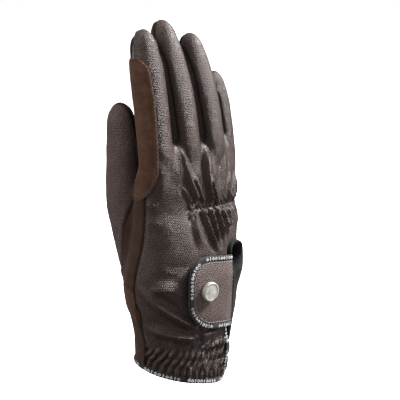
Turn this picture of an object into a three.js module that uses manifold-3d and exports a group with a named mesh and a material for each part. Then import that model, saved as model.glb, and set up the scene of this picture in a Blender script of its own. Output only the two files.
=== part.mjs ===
// A riding glove for the right hand, in the shape it has when worn, in millimetres.
// The origin is the centre of the wrist opening.
// +X points to the little finger, +Y out of the palm, +Z to the fingertips.
// Every leather piece is a wall of real thickness, hollow inside, cut from one hand-shaped form.
import * as THREE from "three";
import { mergeVertices } from "three/addons/utils/BufferGeometryUtils.js";
import Module from "manifold-3d";

const wasm = await Module();
wasm.setup();

// Driving sizes
const WALL = 1.2; // leather and suede
const SEAM_GAP = 0.3; // between two pieces that are sewn edge to edge
const LAYER_GAP = 0.3; // under a piece that lies on another
const HAND_LENGTH = 153; // wrist opening to the webs between the fingers
const HAND_WIDTH = 80; // across the knuckles
const HAND_DEPTH = 34; // back to palm at the elastic
const CUFF_WIDTH = 62;
const CUFF_DEPTH = 45;
const HEM_TILT = 0.23; // rise of the hem per millimetre towards the palm
const HEM_SLANT = -0.2; // and per millimetre towards the little finger
const FINGER_ROOT = 135; // height where the fingers start to bend away from the hand
const THUMB_ROOT = 43;
const THUMB_LENGTH = 134.7;
const THUMB_WIDTH = 27.2; // at its broad base
const THUMB_TIP = 14.5;
const THUMB_BACK_AZIMUTH = -60; // the thumb's back looks this way, in degrees from the back of the hand
const ELASTIC_LEVEL = 110; // gathering elastic across the back of the hand
const WAIST_DEPTH = 1.2; // the elastic draws the back of the hand in
const PLEAT_HEIGHT = 1.3;
const SMOCK_HEIGHT = 0.9; // puckers of the gathered cuff
const SMOCK_START = 6;
const SMOCK_PITCH = 4.6;
const SMOCK_ROWS = 5;
const SIDE_STRIP_WIDTH = 11; // strips between the fingers
const SUEDE_PATCH = 1; // thickness of a suede patch sewn on top
const BINDING_WIDTH = 3.3;
const BINDING_OUT = 0.7; // the binding stands proud of the leather it edges, inside and out
const SLIT_X = 0.408 * CUFF_WIDTH; // wrist slit, on the back near the little finger's side
const SLIT_LENGTH = 83;
const SLIT_HOLE_WIDTH = 9; // the slit gapes open above the tab
const SLIT_HOLE_LENGTH = 18;
const SLIT_HOLE_SHIFT = 6.5; // the hole lies beside the slit, nearer to the little finger
const FACING_WIDTH = 9; // stretch facing along the slit
const FACING_FOOT = 18;
const TAB_LENGTH = 38.6; // across the back of the wrist
const TAB_HEIGHT = 48;
const TAB_BOTTOM = 29.7;
const TAB_SLOPE = 0.1; // the tab rises this much per millimetre away from the slit
const TAB_CORNER = 17;
const TAB_THICKNESS = 1.6;
const PAD_THICKNESS = 1.2; // hook-and-loop pad under the tab
const PAD_MARGIN = 7;
const CAP_DIAMETER = 12.6; // metal cap on the tab
const CAP_HEIGHT = 2.4;
const PATCH_TOP = 207; // suede patch on the index finger
const PATCH_BOTTOM = 118;
const TIP_PATCH_BOTTOM = 203; // smooth fingertip of the index finger, palm side
const PATCH_FRONT = 8; // and this far past the finger's middle to the palm
const HEEL_LOW = 34; // suede patch round the heel of the thumb, at the side seam
const HEEL_HIGH = 57;
const HEEL_START = -2.5;
const CREASE_HEIGHT = 1.5; // long creases of the cuff
const CREASE_REACH = 5;

// Hand form from the wrist opening up to the webs. "hand" is how far the size has gone from the cuff's to
// the hand's; "wide" and "deep" are shares of that size; "across" is a share of HAND_WIDTH, "arch" and
// "lift" of HAND_DEPTH.
const HAND_SECTIONS = [
  { at: -0.14, hand: 0, wide: 1, deep: 1, across: 0, arch: 0, lift: 0 },
  { at: 0.03, hand: 0, wide: 1, deep: 1, across: 0, arch: 0, lift: 0 },
  { at: 0.1, hand: 0, wide: 1.026, deep: 1.02, across: 0.01, arch: 0, lift: 0 },
  { at: 0.165, hand: 0.15, wide: 1.036, deep: 1.084, across: 0.02, arch: 0, lift: 0 },
  { at: 0.23, hand: 0.3, wide: 1.062, deep: 1.137, across: 0.021, arch: 0, lift: 0 },
  { at: 0.295, hand: 0.5, wide: 1.087, deep: 1.225, across: 0.021, arch: 0, lift: 0 },
  { at: 0.36, hand: 0.6, wide: 1.099, deep: 1.27, across: 0.02, arch: 0, lift: 0 },
  { at: 0.425, hand: 0.7, wide: 1.099, deep: 1.34, across: 0.0275, arch: 0, lift: 0 },
  { at: 0.49, hand: 0.8, wide: 1.081, deep: 1.326, across: 0.046, arch: 0.02, lift: 0 },
  { at: 0.555, hand: 0.9, wide: 1.05, deep: 1.29, across: 0.072, arch: 0.06, lift: 0 },
  { at: 0.64, hand: 1, wide: 1.03, deep: 1.21, across: 0.09, arch: 0.1, lift: 0 },
  { at: 0.705, hand: 1, wide: 1.025, deep: 1.1, across: 0.095, arch: 0.12, lift: 0 },
  { at: 0.77, hand: 1, wide: 1.05, deep: 1.02, across: 0.11, arch: 0.14, lift: 0 },
  { at: 0.83, hand: 1, wide: 1.04, deep: 0.9, across: 0.11, arch: 0.15, lift: 0.02 },
  { at: 0.88, hand: 1, wide: 1.02, deep: 0.78, across: 0.11, arch: 0.16, lift: 0.05 },
  { at: 0.93, hand: 1, wide: 0.98, deep: 0.62, across: 0.11, arch: 0.16, lift: 0.07 },
  { at: 0.97, hand: 1, wide: 0.93, deep: 0.45, across: 0.11, arch: 0.15, lift: 0.07 },
  { at: 1, hand: 1, wide: 0.86, deep: 0.28, across: 0.11, arch: 0.14, lift: 0.07 },
];
const ROUNDNESS = 2.25; // 2 is an ellipse, more is squarer

// Finger sizes: "long" is a share of HAND_LENGTH, "wide" and "round" (the height of the tip's dome) of
// HAND_WIDTH.
const FINGER_SIZES = [
  { name: "index", long: 0.587, wide: 0.2625, round: 0.1875 },
  { name: "middle", long: 0.6196, wide: 0.255, round: 0.1625 },
  { name: "ring", long: 0.5588, wide: 0.2425, round: 0.1625 },
  { name: "little", long: 0.3889, wide: 0.2075, round: 0.1375 },
];

// Finger places: "across" and "palm" put the root at shares of HAND_WIDTH and HAND_DEPTH. "curl" and
// "lean" are how far the tip moves to the palm and to the little finger, as shares of the length; "bend"
// puts the curl nearer the tip.
const FINGER_PLACES = [
  { across: -0.25, palm: -0.09, curl: 0.2, lean: 0.02, bend: 1.35 },
  { across: 0.036, palm: -0.12, curl: 0.29, lean: 0, bend: 1.7 },
  { across: 0.308, palm: -0.12, curl: 0.27, lean: -0.02, bend: 1.8 },
  { across: 0.538, palm: 0.12, curl: 0.17, lean: -0.04, bend: 1.6 },
];
const FINGERS = FINGER_SIZES.map((size, i) => ({
  ...FINGER_PLACES[i],
  name: size.name,
  length: size.long * HAND_LENGTH,
  width: size.wide * HAND_WIDTH,
  tip: size.round * HAND_WIDTH,
}));
const FINGER_START = -0.35;
const FINGER_SHAPE = [
  { at: -0.35, girth: 0.8 },
  { at: 0, girth: 0.98 },
  { at: 0.25, girth: 1.01 },
  { at: 0.5, girth: 1.02 },
  { at: 0.68, girth: 0.99 },
  { at: 0.78, girth: 0.93 },
  { at: 0.86, girth: 0.83 },
  { at: 1, girth: 0.62 },
];

// The thumb stands beside the palm. Places are shares of HAND_WIDTH and HAND_DEPTH, girth of THUMB_WIDTH.
const THUMB_SECTIONS = [
  { at: 0, across: -0.161, palm: 0.368, girth: 0.66 },
  { at: 0.09, across: -0.196, palm: 0.418, girth: 0.8 },
  { at: 0.17, across: -0.224, palm: 0.476, girth: 0.9 },
  { at: 0.275, across: -0.254, palm: 0.512, girth: 0.96 },
  { at: 0.42, across: -0.299, palm: 0.576, girth: 0.957 },
  { at: 0.51, across: -0.334, palm: 0.624, girth: 0.912 },
  { at: 0.65, across: -0.349, palm: 0.626, girth: 0.846 },
  { at: 0.79, across: -0.3525, palm: 0.62, girth: 0.8 },
  { at: 0.892, across: -0.366, palm: 0.638, girth: 0.684 },
  { at: 1, across: -0.376, palm: 0.647, girth: 0.55 },
];

// Seam between the back and the palm down the thumb's side: height and place as shares of HAND_LENGTH and
// HAND_DEPTH.
const SIDE_SEAM = [
  { at: -0.2, palm: -0.07 },
  { at: 0, palm: -0.07 },
  { at: 0.12, palm: -0.13 },
  { at: 0.2, palm: -0.1 },
  { at: 0.29, palm: -0.15 },
  { at: 0.34, palm: -0.05 },
  { at: 0.45, palm: -0.09 },
  { at: 0.6, palm: -0.155 },
  { at: 0.74, palm: -0.16 },
];

// Pleats drawn in by the elastic: degrees round the hand from the middle of its back, at the elastic,
// above it and below it; how far each reaches as a share of HAND_LENGTH; and its height as a share of
// PLEAT_HEIGHT.
const PLEATS = [
  { here: -20, above: -25, below: -15, up: 0.06, down: 0.07, height: 0.5 },
  { here: -12, above: -20, below: -6, up: 0.26, down: 0.2, height: 1 },
  { here: -5, above: -9, below: 2, up: 0.12, down: 0.1, height: 0.8 },
  { here: 1, above: 0, below: 9, up: 0.24, down: 0.2, height: 0.9 },
  { here: 9, above: 9, below: 18, up: 0.14, down: 0.2, height: 0.9 },
  { here: 18, above: 20, below: 27, up: 0.24, down: 0.18, height: 1 },
  { here: 28, above: 31, below: 35, up: 0.16, down: 0.18, height: 1 },
  { here: 40, above: 44, below: 43, up: 0.22, down: 0.16, height: 1 },
  { here: 52, above: 56, below: 52, up: 0.14, down: 0.15, height: 0.9 },
  { here: 64, above: 67, below: 63, up: 0.12, down: 0.12, height: 0.8 },
  { here: 76, above: 78, below: 75, up: 0.08, down: 0.1, height: 0.6 },
];
const PLEAT_ABOVE = 15; // heights over and under the elastic where "above" and "below" hold
const PLEAT_BELOW = 20;

// Long creases of the cuff: degrees round the hand and places up it as shares of HAND_LENGTH, at both ends;
// height and reach as shares of CREASE_HEIGHT and CREASE_REACH.
const CREASES = [
  { from: -88, fromUp: 0.33, to: 2, toUp: 0.16, height: 1, reach: 1 },
  { from: -86, fromUp: 0.25, to: -8, toUp: 0.14, height: -0.8, reach: 0.9 },
  { from: -84, fromUp: 0.38, to: -40, toUp: 0.37, height: 0.6, reach: 0.8 },
];

const FULL_TURN = 2 * Math.PI;
const degrees = (value) => (value * Math.PI) / 180;
const mix = (a, b, share) => a + (b - a) * share;
const limit = (value, low, high) => Math.min(Math.max(value, low), high);
const ease = (value, low, high) => {
  const share = limit((value - low) / (high - low), 0, 1);
  return share * share * (3 - 2 * share);
};

// Reads one column of a table on a smooth curve through its rows.
function read(rows, key, at) {
  const last = rows.length - 1;
  const place = limit(at, rows[0].at, rows[last].at);
  const i = Math.min(rows.findLastIndex((row) => row.at <= place), last - 1);
  const slope = (k) => {
    const before = rows[Math.max(k - 1, 0)];
    const after = rows[Math.min(k + 1, last)];
    return (after[key] - before[key]) / (after.at - before.at);
  };
  const span = rows[i + 1].at - rows[i].at;
  const t = (place - rows[i].at) / span;
  const rise = rows[i + 1][key] - rows[i][key];
  const start = slope(i) * span;
  const end = slope(i + 1) * span;
  const square = 3 * rise - 2 * start - end;
  const cube = start + end - 2 * rise;
  return rows[i][key] + start * t + square * t ** 2 + cube * t ** 3;
}

// A solid that can be joined and cut, from a closed geometry.
function solid(geometry) {
  const bare = geometry.clone();
  bare.deleteAttribute("normal");
  bare.deleteAttribute("uv");
  const merged = mergeVertices(bare, 1e-4);
  const made = new wasm.Manifold(
    new wasm.Mesh({
      numProp: 3,
      vertProperties: merged.attributes.position.array,
      triVerts: new Uint32Array(merged.index.array),
    }),
  );
  return made;
}

// Skins a stack of closed rings, each with as many points, and closes both ends.
function loft(rings) {
  const count = rings[0].length;
  const positions = rings.flat().flatMap((p) => [p.x, p.y, p.z]);
  const faces = [];
  for (let j = 0; j < rings.length - 1; j++) {
    for (let i = 0; i < count; i++) {
      const a = j * count + i;
      const b = j * count + ((i + 1) % count);
      faces.push(a, b, b + count, a, b + count, a + count);
    }
  }
  const flat = (ring) => ring.map((p) => new THREE.Vector2(p.x, p.y));
  const top = (rings.length - 1) * count;
  for (const [a, b, c] of THREE.ShapeUtils.triangulateShape(flat(rings[0]), [])) faces.push(c, b, a);
  for (const [a, b, c] of THREE.ShapeUtils.triangulateShape(flat(rings.at(-1)), [])) {
    faces.push(top + a, top + b, top + c);
  }
  const geometry = new THREE.BufferGeometry();
  geometry.setAttribute("position", new THREE.Float32BufferAttribute(positions, 3));
  geometry.setIndex(faces);
  return solid(geometry);
}

// Extrudes an outline drawn in X and Z along Y, from one depth to another.
function prism(outline, fromY, toY) {
  const options = { depth: toY - fromY, bevelEnabled: false, curveSegments: 8 };
  const geometry = new THREE.ExtrudeGeometry(outline, options);
  geometry.rotateX(Math.PI / 2);
  geometry.translate(0, toY, 0);
  return solid(geometry);
}

// The largest connected body of a cut solid.
function mainBody(cut) {
  return cut.decompose().reduce((best, body) => (body.volume() > best.volume() ? body : best));
}

// Hand sections
const FAR = 90; // beyond every piece
const elasticShare = ELASTIC_LEVEL / HAND_LENGTH;

function handSection(level) {
  const at = level / HAND_LENGTH;
  const hand = read(HAND_SECTIONS, "hand", at);
  return {
    half: (mix(CUFF_WIDTH, HAND_WIDTH, hand) * read(HAND_SECTIONS, "wide", at)) / 2,
    thick: (mix(CUFF_DEPTH, HAND_DEPTH, hand) * read(HAND_SECTIONS, "deep", at)) / 2,
    across: HAND_WIDTH * read(HAND_SECTIONS, "across", at),
    arch: HAND_DEPTH * read(HAND_SECTIONS, "arch", at),
    lift: HAND_DEPTH * read(HAND_SECTIONS, "lift", at),
  };
}

// Angle of a pleat's ridge at a level, in degrees from the middle of the back.
function pleatAngle(pleat, level) {
  const rise = level - ELASTIC_LEVEL;
  const there = rise > 0 ? pleat.above : pleat.below;
  const share = Math.min(Math.abs(rise) / (rise > 0 ? PLEAT_ABOVE : PLEAT_BELOW), 1.6);
  return mix(pleat.here, there, share);
}

function pleatHeight(pleat, level) {
  const rise = level - ELASTIC_LEVEL;
  const reach = HAND_LENGTH * (rise > 0 ? pleat.up : pleat.down);
  return PLEAT_HEIGHT * pleat.height * (1 - ease(Math.abs(rise), 0.25 * reach, reach));
}

// Height of the long creases over the leather at an angle round the hand and a level.
function creaseHeight(angle, level) {
  let total = 0;
  for (const crease of CREASES) {
    const along = (angle - crease.from) / (crease.to - crease.from);
    const middle = HAND_LENGTH * mix(crease.fromUp, crease.toUp, along);
    const fade = ease(along, -0.05, 0.15) * (1 - ease(along, 0.75, 1.1));
    const beside = (level - middle) / (CREASE_REACH * crease.reach);
    total += CREASE_HEIGHT * crease.height * fade * Math.exp(-(beside ** 2));
  }
  return total;
}

// A point on the hand form. The angle is in degrees round the hand from the middle of its back.
function handPoint(angle, level, offset, height = 0) {
  const { half, thick, across, arch, lift } = handSection(level);
  const c = Math.sin(degrees(angle));
  const s = -Math.cos(degrees(angle));
  const bend = (value) => Math.sign(value) * Math.abs(value) ** (2 / ROUNDNESS);
  const x = half * bend(c);
  const y = thick * bend(s);
  const out = new THREE.Vector2(x / half ** 2, y / thick ** 2).normalize().multiplyScalar(offset + height);
  const side = Math.max(x / half, 0);
  const back = Math.max(-s, 0);
  const waist = WAIST_DEPTH * back * Math.exp(-(((level - ELASTIC_LEVEL) / (0.06 * HAND_LENGTH)) ** 2));
  const px = across + x + out.x;
  const py = y + out.y + arch * side ** 2 + waist - lift;
  const tilt = HEM_TILT * (1 - ease(level, 0.05 * HAND_LENGTH, 0.7 * HAND_LENGTH));
  const slant = HEM_SLANT * (1 - ease(level, 0, 0.25 * HAND_LENGTH));
  return new THREE.Vector3(px, py, level + tilt * py + slant * px);
}

// Columns of the hand form: evenly spaced round the palm and the thumb's side, and a column on each ridge
// and in each valley of the pleats. Each entry gives its angle at a level, and the pleat it rides on, if
// any.
const PALM_COLUMNS = 13;
const SIDE_COLUMNS = 6;
const firstPleat = PLEATS[0];
const lastPleat = PLEATS.at(-1);
const sideColumns = Array.from({ length: SIDE_COLUMNS }, (_, i) => ({
  angle: (level) => mix(-90, pleatAngle(firstPleat, level) - 5, i / SIDE_COLUMNS),
}));
const pleatColumns = PLEATS.map((pleat) => ({ angle: (level) => pleatAngle(pleat, level), pleat }));
const valleyColumns = pleatColumns.slice(1).map((column, i) => ({
  angle: (level) => (pleatColumns[i].angle(level) + column.angle(level)) / 2,
}));
const palmColumns = Array.from({ length: PALM_COLUMNS }, (_, i) => ({
  angle: (level) => mix(pleatAngle(lastPleat, level), 270, (i + 1) / (PALM_COLUMNS + 1)),
}));
const backColumns = pleatColumns.flatMap((column, i) => (i ? [valleyColumns[i - 1], column] : [column]));
const outerColumns = [...sideColumns, ...backColumns, ...palmColumns];

const smockLevels = Array.from({ length: SMOCK_ROWS + 1 }, (_, i) => SMOCK_START + i * SMOCK_PITCH);
const LOWER_SHARES = [0.25, 0.31, 0.37, 0.45, 0.53, 0.59, 0.65];
const UPPER_SHARES = [0.785, 0.84, 0.89, 0.94, 0.975, 1];
const handLevels = [...LOWER_SHARES, elasticShare, ...UPPER_SHARES].map((share) => share * HAND_LENGTH);
const outerLevels = [0, ...smockLevels, ...handLevels];

// Outer form of the hand, with its pleats, puckers and creases, grown by an offset, between two levels.
function handForm(offset, low = 0, high = HAND_LENGTH) {
  const levels = [low, ...outerLevels.filter((level) => level > low && level < high), high];
  const rings = levels.map((level) => {
    const row = smockLevels.indexOf(level);
    const ring = outerColumns.map((column, i) => {
      const angle = column.angle(level);
      const onBack = angle < 90;
      const ridge = column.pleat ? pleatHeight(column.pleat, level) : 0;
      const crease = onBack ? creaseHeight(angle, level) : 0;
      const pucker = onBack && row > 0 && row < SMOCK_ROWS && (row + i) % 2 ? SMOCK_HEIGHT : 0;
      return handPoint(angle, level, offset, ridge + crease + pucker);
    });
    if (level === HAND_LENGTH) ring.forEach((p) => (p.z += offset));
    return ring;
  });
  return loft(rings);
}

// Inner form of the hand: the same sections without the folds, open at the cuff.
const INNER_SHARES = [-0.14, 0.03, 0.17, 0.3, 0.4, 0.5, 0.6, elasticShare, 0.79, 0.865, 0.93, 0.975];
const innerColumns = [...sideColumns, ...pleatColumns, ...palmColumns];
function handHollow(offset) {
  const levels = INNER_SHARES.map((share) => share * HAND_LENGTH);
  const ring = (level) => innerColumns.map((column) => handPoint(column.angle(level), level, offset));
  return loft(levels.map(ring));
}

// Fingers and thumb
function fingerAxis(finger, share) {
  const top = limit(share, FINGER_START, 1);
  const bend = Math.max(top, 0) ** finger.bend;
  return new THREE.Vector3(
    HAND_WIDTH * finger.across + finger.length * finger.lean * top,
    HAND_DEPTH * finger.palm + finger.length * finger.curl * bend,
    FINGER_ROOT + finger.length * top,
  );
}

function thumbAxis(share) {
  return new THREE.Vector3(
    HAND_WIDTH * read(THUMB_SECTIONS, "across", share),
    HAND_DEPTH * read(THUMB_SECTIONS, "palm", share),
    THUMB_ROOT + THUMB_LENGTH * limit(share, 0, 1),
  );
}

// A round tube along an axis, closed by a rounded tip. The axis is followed to the start of the tip.
const TIP_ANGLES = [24, 46, 70];
function digitForm({ axis, girth, start, length, tip, count, steps, offset }) {
  const ends = 1 - tip / length;
  const stations = Array.from({ length: steps }, (_, i) => mix(start, ends, i / (steps - 1)));
  const ring = (share, radius, forward) => {
    const centre = axis(share);
    const along = axis(share + 0.01).sub(axis(share - 0.01)).normalize();
    const side = new THREE.Vector3(1, 0, 0).addScaledVector(along, -along.x).normalize();
    const palm = new THREE.Vector3().crossVectors(along, side);
    centre.addScaledVector(along, forward);
    return Array.from({ length: count }, (_, i) => {
      const angle = (FULL_TURN * i) / count;
      return centre
        .clone()
        .addScaledVector(side, radius * Math.cos(angle))
        .addScaledVector(palm, radius * Math.sin(angle));
    });
  };
  const rings = stations.map((share) => ring(share, girth(share) + offset, 0));
  const end = girth(ends) + offset;
  for (const angle of TIP_ANGLES) {
    rings.push(ring(ends, end * Math.cos(degrees(angle)), (tip + offset) * Math.sin(degrees(angle))));
  }
  return loft(rings);
}

const FINGER_COLUMNS = 12;
const FINGER_STEPS = 6;
const THUMB_STEPS = 8;
function fingerForm(finger, offset) {
  return digitForm({
    axis: (share) => fingerAxis(finger, share),
    girth: (share) => (finger.width / 2) * read(FINGER_SHAPE, "girth", share),
    start: FINGER_START,
    length: finger.length,
    tip: finger.tip,
    count: FINGER_COLUMNS,
    steps: FINGER_STEPS,
    offset,
  });
}

function thumbForm(offset, start = 0) {
  return digitForm({
    axis: thumbAxis,
    girth: (share) => (THUMB_WIDTH / 2) * read(THUMB_SECTIONS, "girth", share),
    start,
    length: THUMB_LENGTH,
    tip: THUMB_TIP,
    count: FINGER_COLUMNS,
    steps: THUMB_STEPS,
    offset,
  });
}

function gloveForm(offset, hand) {
  return FINGERS.reduce((form, finger) => form.add(fingerForm(finger, offset)), hand.add(thumbForm(offset)));
}

// Seams. The back and the palm meet along the sides of the hand; strips run between the fingers.
const HALF_GAP = SEAM_GAP / 2;
const STRIP_BELOW_WEB = 6;
const STRIP_TIP = 6;
const STRIP_LEAST = 0.5;
const HAND_SEAMS = [-0.3, 0, 0.12, 0.2, 0.29, 0.34, 0.45, 0.6, 0.74, 0.83, 0.9, 0.95, 1];
const FINGER_SEAMS = [1.08, 1.175, 1.255, 1.335, 1.415, 1.49, 1.6];
const seamHeights = [...HAND_SEAMS, ...FINGER_SEAMS].map((share) => share * HAND_LENGTH);

const shareOf = (finger, z) => (z - FINGER_ROOT) / finger.length;
function stripWidth(finger, z) {
  const top = FINGER_ROOT + finger.length - STRIP_TIP;
  const taper = ease(z, 0.86 * HAND_LENGTH, 0.95 * HAND_LENGTH) - ease(z, top - 0.25 * finger.length, top);
  return Math.max(SIDE_STRIP_WIDTH * taper, STRIP_LEAST);
}

function seamAt(finger, z) {
  const side = HAND_DEPTH * read(SIDE_SEAM, "palm", z / HAND_LENGTH);
  const share = ease(z, 0.74 * HAND_LENGTH, 0.93 * HAND_LENGTH);
  return mix(side, fingerAxis(finger, shareOf(finger, z)).y, share);
}

// Everything to the palm's side of a seam line. "shift" is -1 for the back edge of the side strips and 1
// for their palm edge; "gap" moves the whole line.
function palmSide(shift, gap) {
  const rings = seamHeights.map((z) => {
    const centres = FINGERS.map((finger) => {
      const { x } = fingerAxis(finger, shareOf(finger, z));
      return new THREE.Vector3(x, seamAt(finger, z) + (shift * stripWidth(finger, z)) / 2 + gap, z);
    });
    const thumbSide = seamAt(FINGERS[0], z) + gap;
    const littleSide = seamAt(FINGERS.at(-1), z) + gap;
    return [
      new THREE.Vector3(-FAR, thumbSide, z),
      new THREE.Vector3(centres[0].x, thumbSide, z),
      ...centres,
      new THREE.Vector3(centres.at(-1).x, littleSide, z),
      new THREE.Vector3(FAR, littleSide, z),
      new THREE.Vector3(FAR, FAR, z),
      new THREE.Vector3(-FAR, FAR, z),
    ];
  });
  return loft(rings);
}

// Everything between the middles of two neighbouring fingers, from the web up to where their side strip
// ends.
function betweenFingers(left, right) {
  const low = HAND_LENGTH - STRIP_BELOW_WEB;
  const high = FINGER_ROOT + Math.max(left.length, right.length) - STRIP_TIP;
  const heights = [low, ...seamHeights.filter((z) => z > low && z < high), high];
  const rings = heights.map((z) => {
    const a = fingerAxis(left, shareOf(left, z)).x;
    const b = fingerAxis(right, shareOf(right, z)).x;
    return [
      new THREE.Vector3(a, -FAR, z),
      new THREE.Vector3(b, -FAR, z),
      new THREE.Vector3(b, FAR, z),
      new THREE.Vector3(a, FAR, z),
    ];
  });
  return loft(rings);
}

// The thumb's pieces are cut in its own view: "right" runs across its back, "out" away from it.
const thumbTurn = degrees(THUMB_BACK_AZIMUTH);
const thumbOut = new THREE.Vector3(Math.sin(thumbTurn), -Math.cos(thumbTurn), 0);
const thumbRight = new THREE.Vector3(Math.cos(thumbTurn), Math.sin(thumbTurn), 0);
const THUMB_SEAM_OUT = 2; // the seam lies this far to the back of the thumb's middle
const THUMB_PARTING = 112; // below this height the thumb has grown into the hand
const THUMB_SHARES = [0.165, 0.31, 0.42, 0.51, 0.61, 0.76, 0.905, 0.995];
const thumbHeights = THUMB_SHARES.map((share) => THUMB_ROOT + THUMB_LENGTH * share);

// Everything behind (side -1) or in front of (side +1) the thumb's side seam, between two heights.
function thumbHalf(side, low, high, grow = 0) {
  const reach = HAND_WIDTH / 2;
  const heights = [low, ...thumbHeights.filter((z) => z > low && z < high), high];
  const rings = heights.map((z) => {
    const centre = thumbAxis((z - THUMB_ROOT) / THUMB_LENGTH);
    const seam = centre.dot(thumbOut) + THUMB_SEAM_OUT - side * (HALF_GAP - grow);
    const middle = centre.dot(thumbRight);
    const far = seam - side * reach;
    const corner = (right, out) =>
      new THREE.Vector3().addScaledVector(thumbRight, middle + right).addScaledVector(thumbOut, out).setZ(z);
    const ring = [corner(-reach, seam), corner(reach, seam), corner(reach, far), corner(-reach, far)];
    return side > 0 ? ring : ring.reverse();
  });
  return loft(rings);
}

// Tongue of leather that runs from the thumb down to the heel of the hand: shares of THUMB_LENGTH upwards,
// and shares of THUMB_WIDTH to the right of the thumb's back.
const TONGUE_RIGHT = [
  { up: 1.2, right: 0.9 },
  { up: 0.62, right: 0.5 },
  { up: 0.55, right: 0.38 },
  { up: 0.47, right: 0.18 },
  { up: 0.41, right: 0 },
  { up: 0.35, right: -0.1 },
  { up: 0.21, right: -0.31 },
  { up: 0.165, right: -0.4 },
];
const TONGUE_LEFT = [
  { up: 0.21, right: -0.52 },
  { up: 0.36, right: -0.72 },
  { up: 0.52, right: -0.85 },
  { up: 1.2, right: -0.95 },
];

function tongueOutline(grow) {
  const shape = new THREE.Shape();
  const points = [
    ...TONGUE_RIGHT.map(({ up, right }) => ({ up, right: THUMB_WIDTH * right + grow })),
    ...TONGUE_LEFT.map(({ up, right }) => ({ up, right: THUMB_WIDTH * right - grow })),
  ];
  points.forEach(({ up, right }, i) => {
    const height = THUMB_ROOT + THUMB_LENGTH * up - (up < 0.25 ? 3 * grow : 0);
    const centre = thumbAxis(limit(up, 0, 1)).dot(thumbRight);
    if (i) shape.lineTo(centre + right, height);
    else shape.moveTo(centre + right, height);
  });
  return shape;
}

// An outline drawn across the thumb's back, extruded through it.
function thumbPrism(outline, low, high) {
  const geometry = new THREE.ExtrudeGeometry(outline, { depth: high - low, bevelEnabled: false });
  geometry.applyMatrix4(new THREE.Matrix4().makeBasis(thumbRight, new THREE.Vector3(0, 0, 1), thumbOut));
  geometry.translate(thumbOut.x * low, thumbOut.y * low, 0);
  return solid(geometry);
}

// Pieces of the skin
const form = handForm(0);
const glove = gloveForm(0, form);
const hollow = gloveForm(-WALL, handHollow(-WALL));
const hemEdge = BINDING_WIDTH + SEAM_GAP;
const belowHem = handForm(FAR / 3, -HAND_LENGTH / 10, hemEdge);
const skin = glove.subtract(hollow).subtract(belowHem);

// The slit in an outline of X and Z: straight up from the cuff, then a drop-shaped hole above the tab.
function slitOutline(grow, foot = -FAR) {
  const half = SLIT_HOLE_WIDTH / 2 + grow;
  const top = SLIT_LENGTH + grow;
  const middle = SLIT_X + SLIT_HOLE_SHIFT;
  const low = SLIT_LENGTH - SLIT_HOLE_LENGTH;
  const shape = new THREE.Shape();
  shape.moveTo(SLIT_X - SEAM_GAP - grow, foot);
  shape.lineTo(SLIT_X + SEAM_GAP + grow, foot);
  shape.lineTo(SLIT_X + SEAM_GAP + grow, low);
  shape.quadraticCurveTo(middle + half, low + SLIT_HOLE_LENGTH / 4, middle + half, top - half);
  shape.absarc(middle, top - half, half, 0, Math.PI, false);
  shape.quadraticCurveTo(middle - half, low + SLIT_HOLE_LENGTH / 4, SLIT_X - SEAM_GAP - grow, low);
  return shape;
}

// Facing: a stretch band round the hole and down the little finger's side of the slit.
const LEG_TOP = TAB_BOTTOM + TAB_HEIGHT / 4;
function facingOutline(grow) {
  const hole = SLIT_HOLE_WIDTH / 2 + BINDING_WIDTH + grow;
  const middle = SLIT_X + SLIT_HOLE_SHIFT;
  const right = SLIT_X + FACING_WIDTH + grow;
  const top = SLIT_LENGTH + BINDING_WIDTH + grow;
  const leg = SLIT_X - BINDING_WIDTH - grow;
  const shape = new THREE.Shape();
  shape.moveTo(SLIT_X, FACING_FOOT - grow);
  shape.lineTo(SLIT_X + BINDING_WIDTH + grow, FACING_FOOT - grow);
  shape.lineTo(right, FACING_FOOT + 5 * BINDING_WIDTH);
  shape.lineTo(middle + hole, SLIT_LENGTH - SLIT_HOLE_LENGTH);
  shape.lineTo(middle + hole, top - hole);
  shape.absarc(middle, top - hole, hole, 0, Math.PI, false);
  shape.lineTo(leg, SLIT_LENGTH - SLIT_HOLE_LENGTH);
  shape.lineTo(leg, LEG_TOP - grow);
  shape.lineTo(SLIT_X, LEG_TOP - grow);
  return shape;
}

// A strip along the slit, between two distances from it, up to a height.
function slitStrip(from, to, top) {
  return onBack(
    new THREE.Shape([
      new THREE.Vector2(SLIT_X + from, -FAR),
      new THREE.Vector2(SLIT_X + to, -FAR),
      new THREE.Vector2(SLIT_X + to, top),
      new THREE.Vector2(SLIT_X + from, top),
    ]),
  );
}

const onBack = (outline) => prism(outline, -FAR, 0);
const bound = BINDING_WIDTH + SEAM_GAP;
const facingZone = onBack(facingOutline(SEAM_GAP));
const slitZone = onBack(slitOutline(0));
const boundZone = slitStrip(-bound, 0, LEG_TOP).add(slitStrip(0, bound, FACING_FOOT));
const edgedSkin = skin.subtract(facingZone).subtract(slitZone).subtract(boundZone);

const thumbSkin = thumbForm(0.7, 0.3);
const aboveParting = THUMB_ROOT + THUMB_LENGTH + FAR / 3;
const behindThumbSeam = thumbHalf(-1, THUMB_ROOT, aboveParting);
const tongueZone = thumbPrism(tongueOutline(0), -FAR, FAR).intersect(behindThumbSeam);
const tongueCut = thumbPrism(tongueOutline(SEAM_GAP), -FAR, FAR).intersect(
  thumbHalf(-1, THUMB_ROOT - SEAM_GAP, aboveParting, SEAM_GAP),
);
const palmRegion = palmSide(1, HALF_GAP);
const backCut = palmSide(-1, -HALF_GAP);
const stripBand = palmSide(-1, HALF_GAP).subtract(palmSide(1, -HALF_GAP));
const thumbFrontZone = thumbHalf(1, THUMB_PARTING, aboveParting);
const thumbFrontCut = thumbHalf(1, THUMB_PARTING - SEAM_GAP, aboveParting, SEAM_GAP);
const thumbBack = mainBody(skin.intersect(tongueZone).intersect(palmRegion));
const thumbFront = mainBody(skin.intersect(thumbSkin).intersect(thumbFrontZone));
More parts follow.
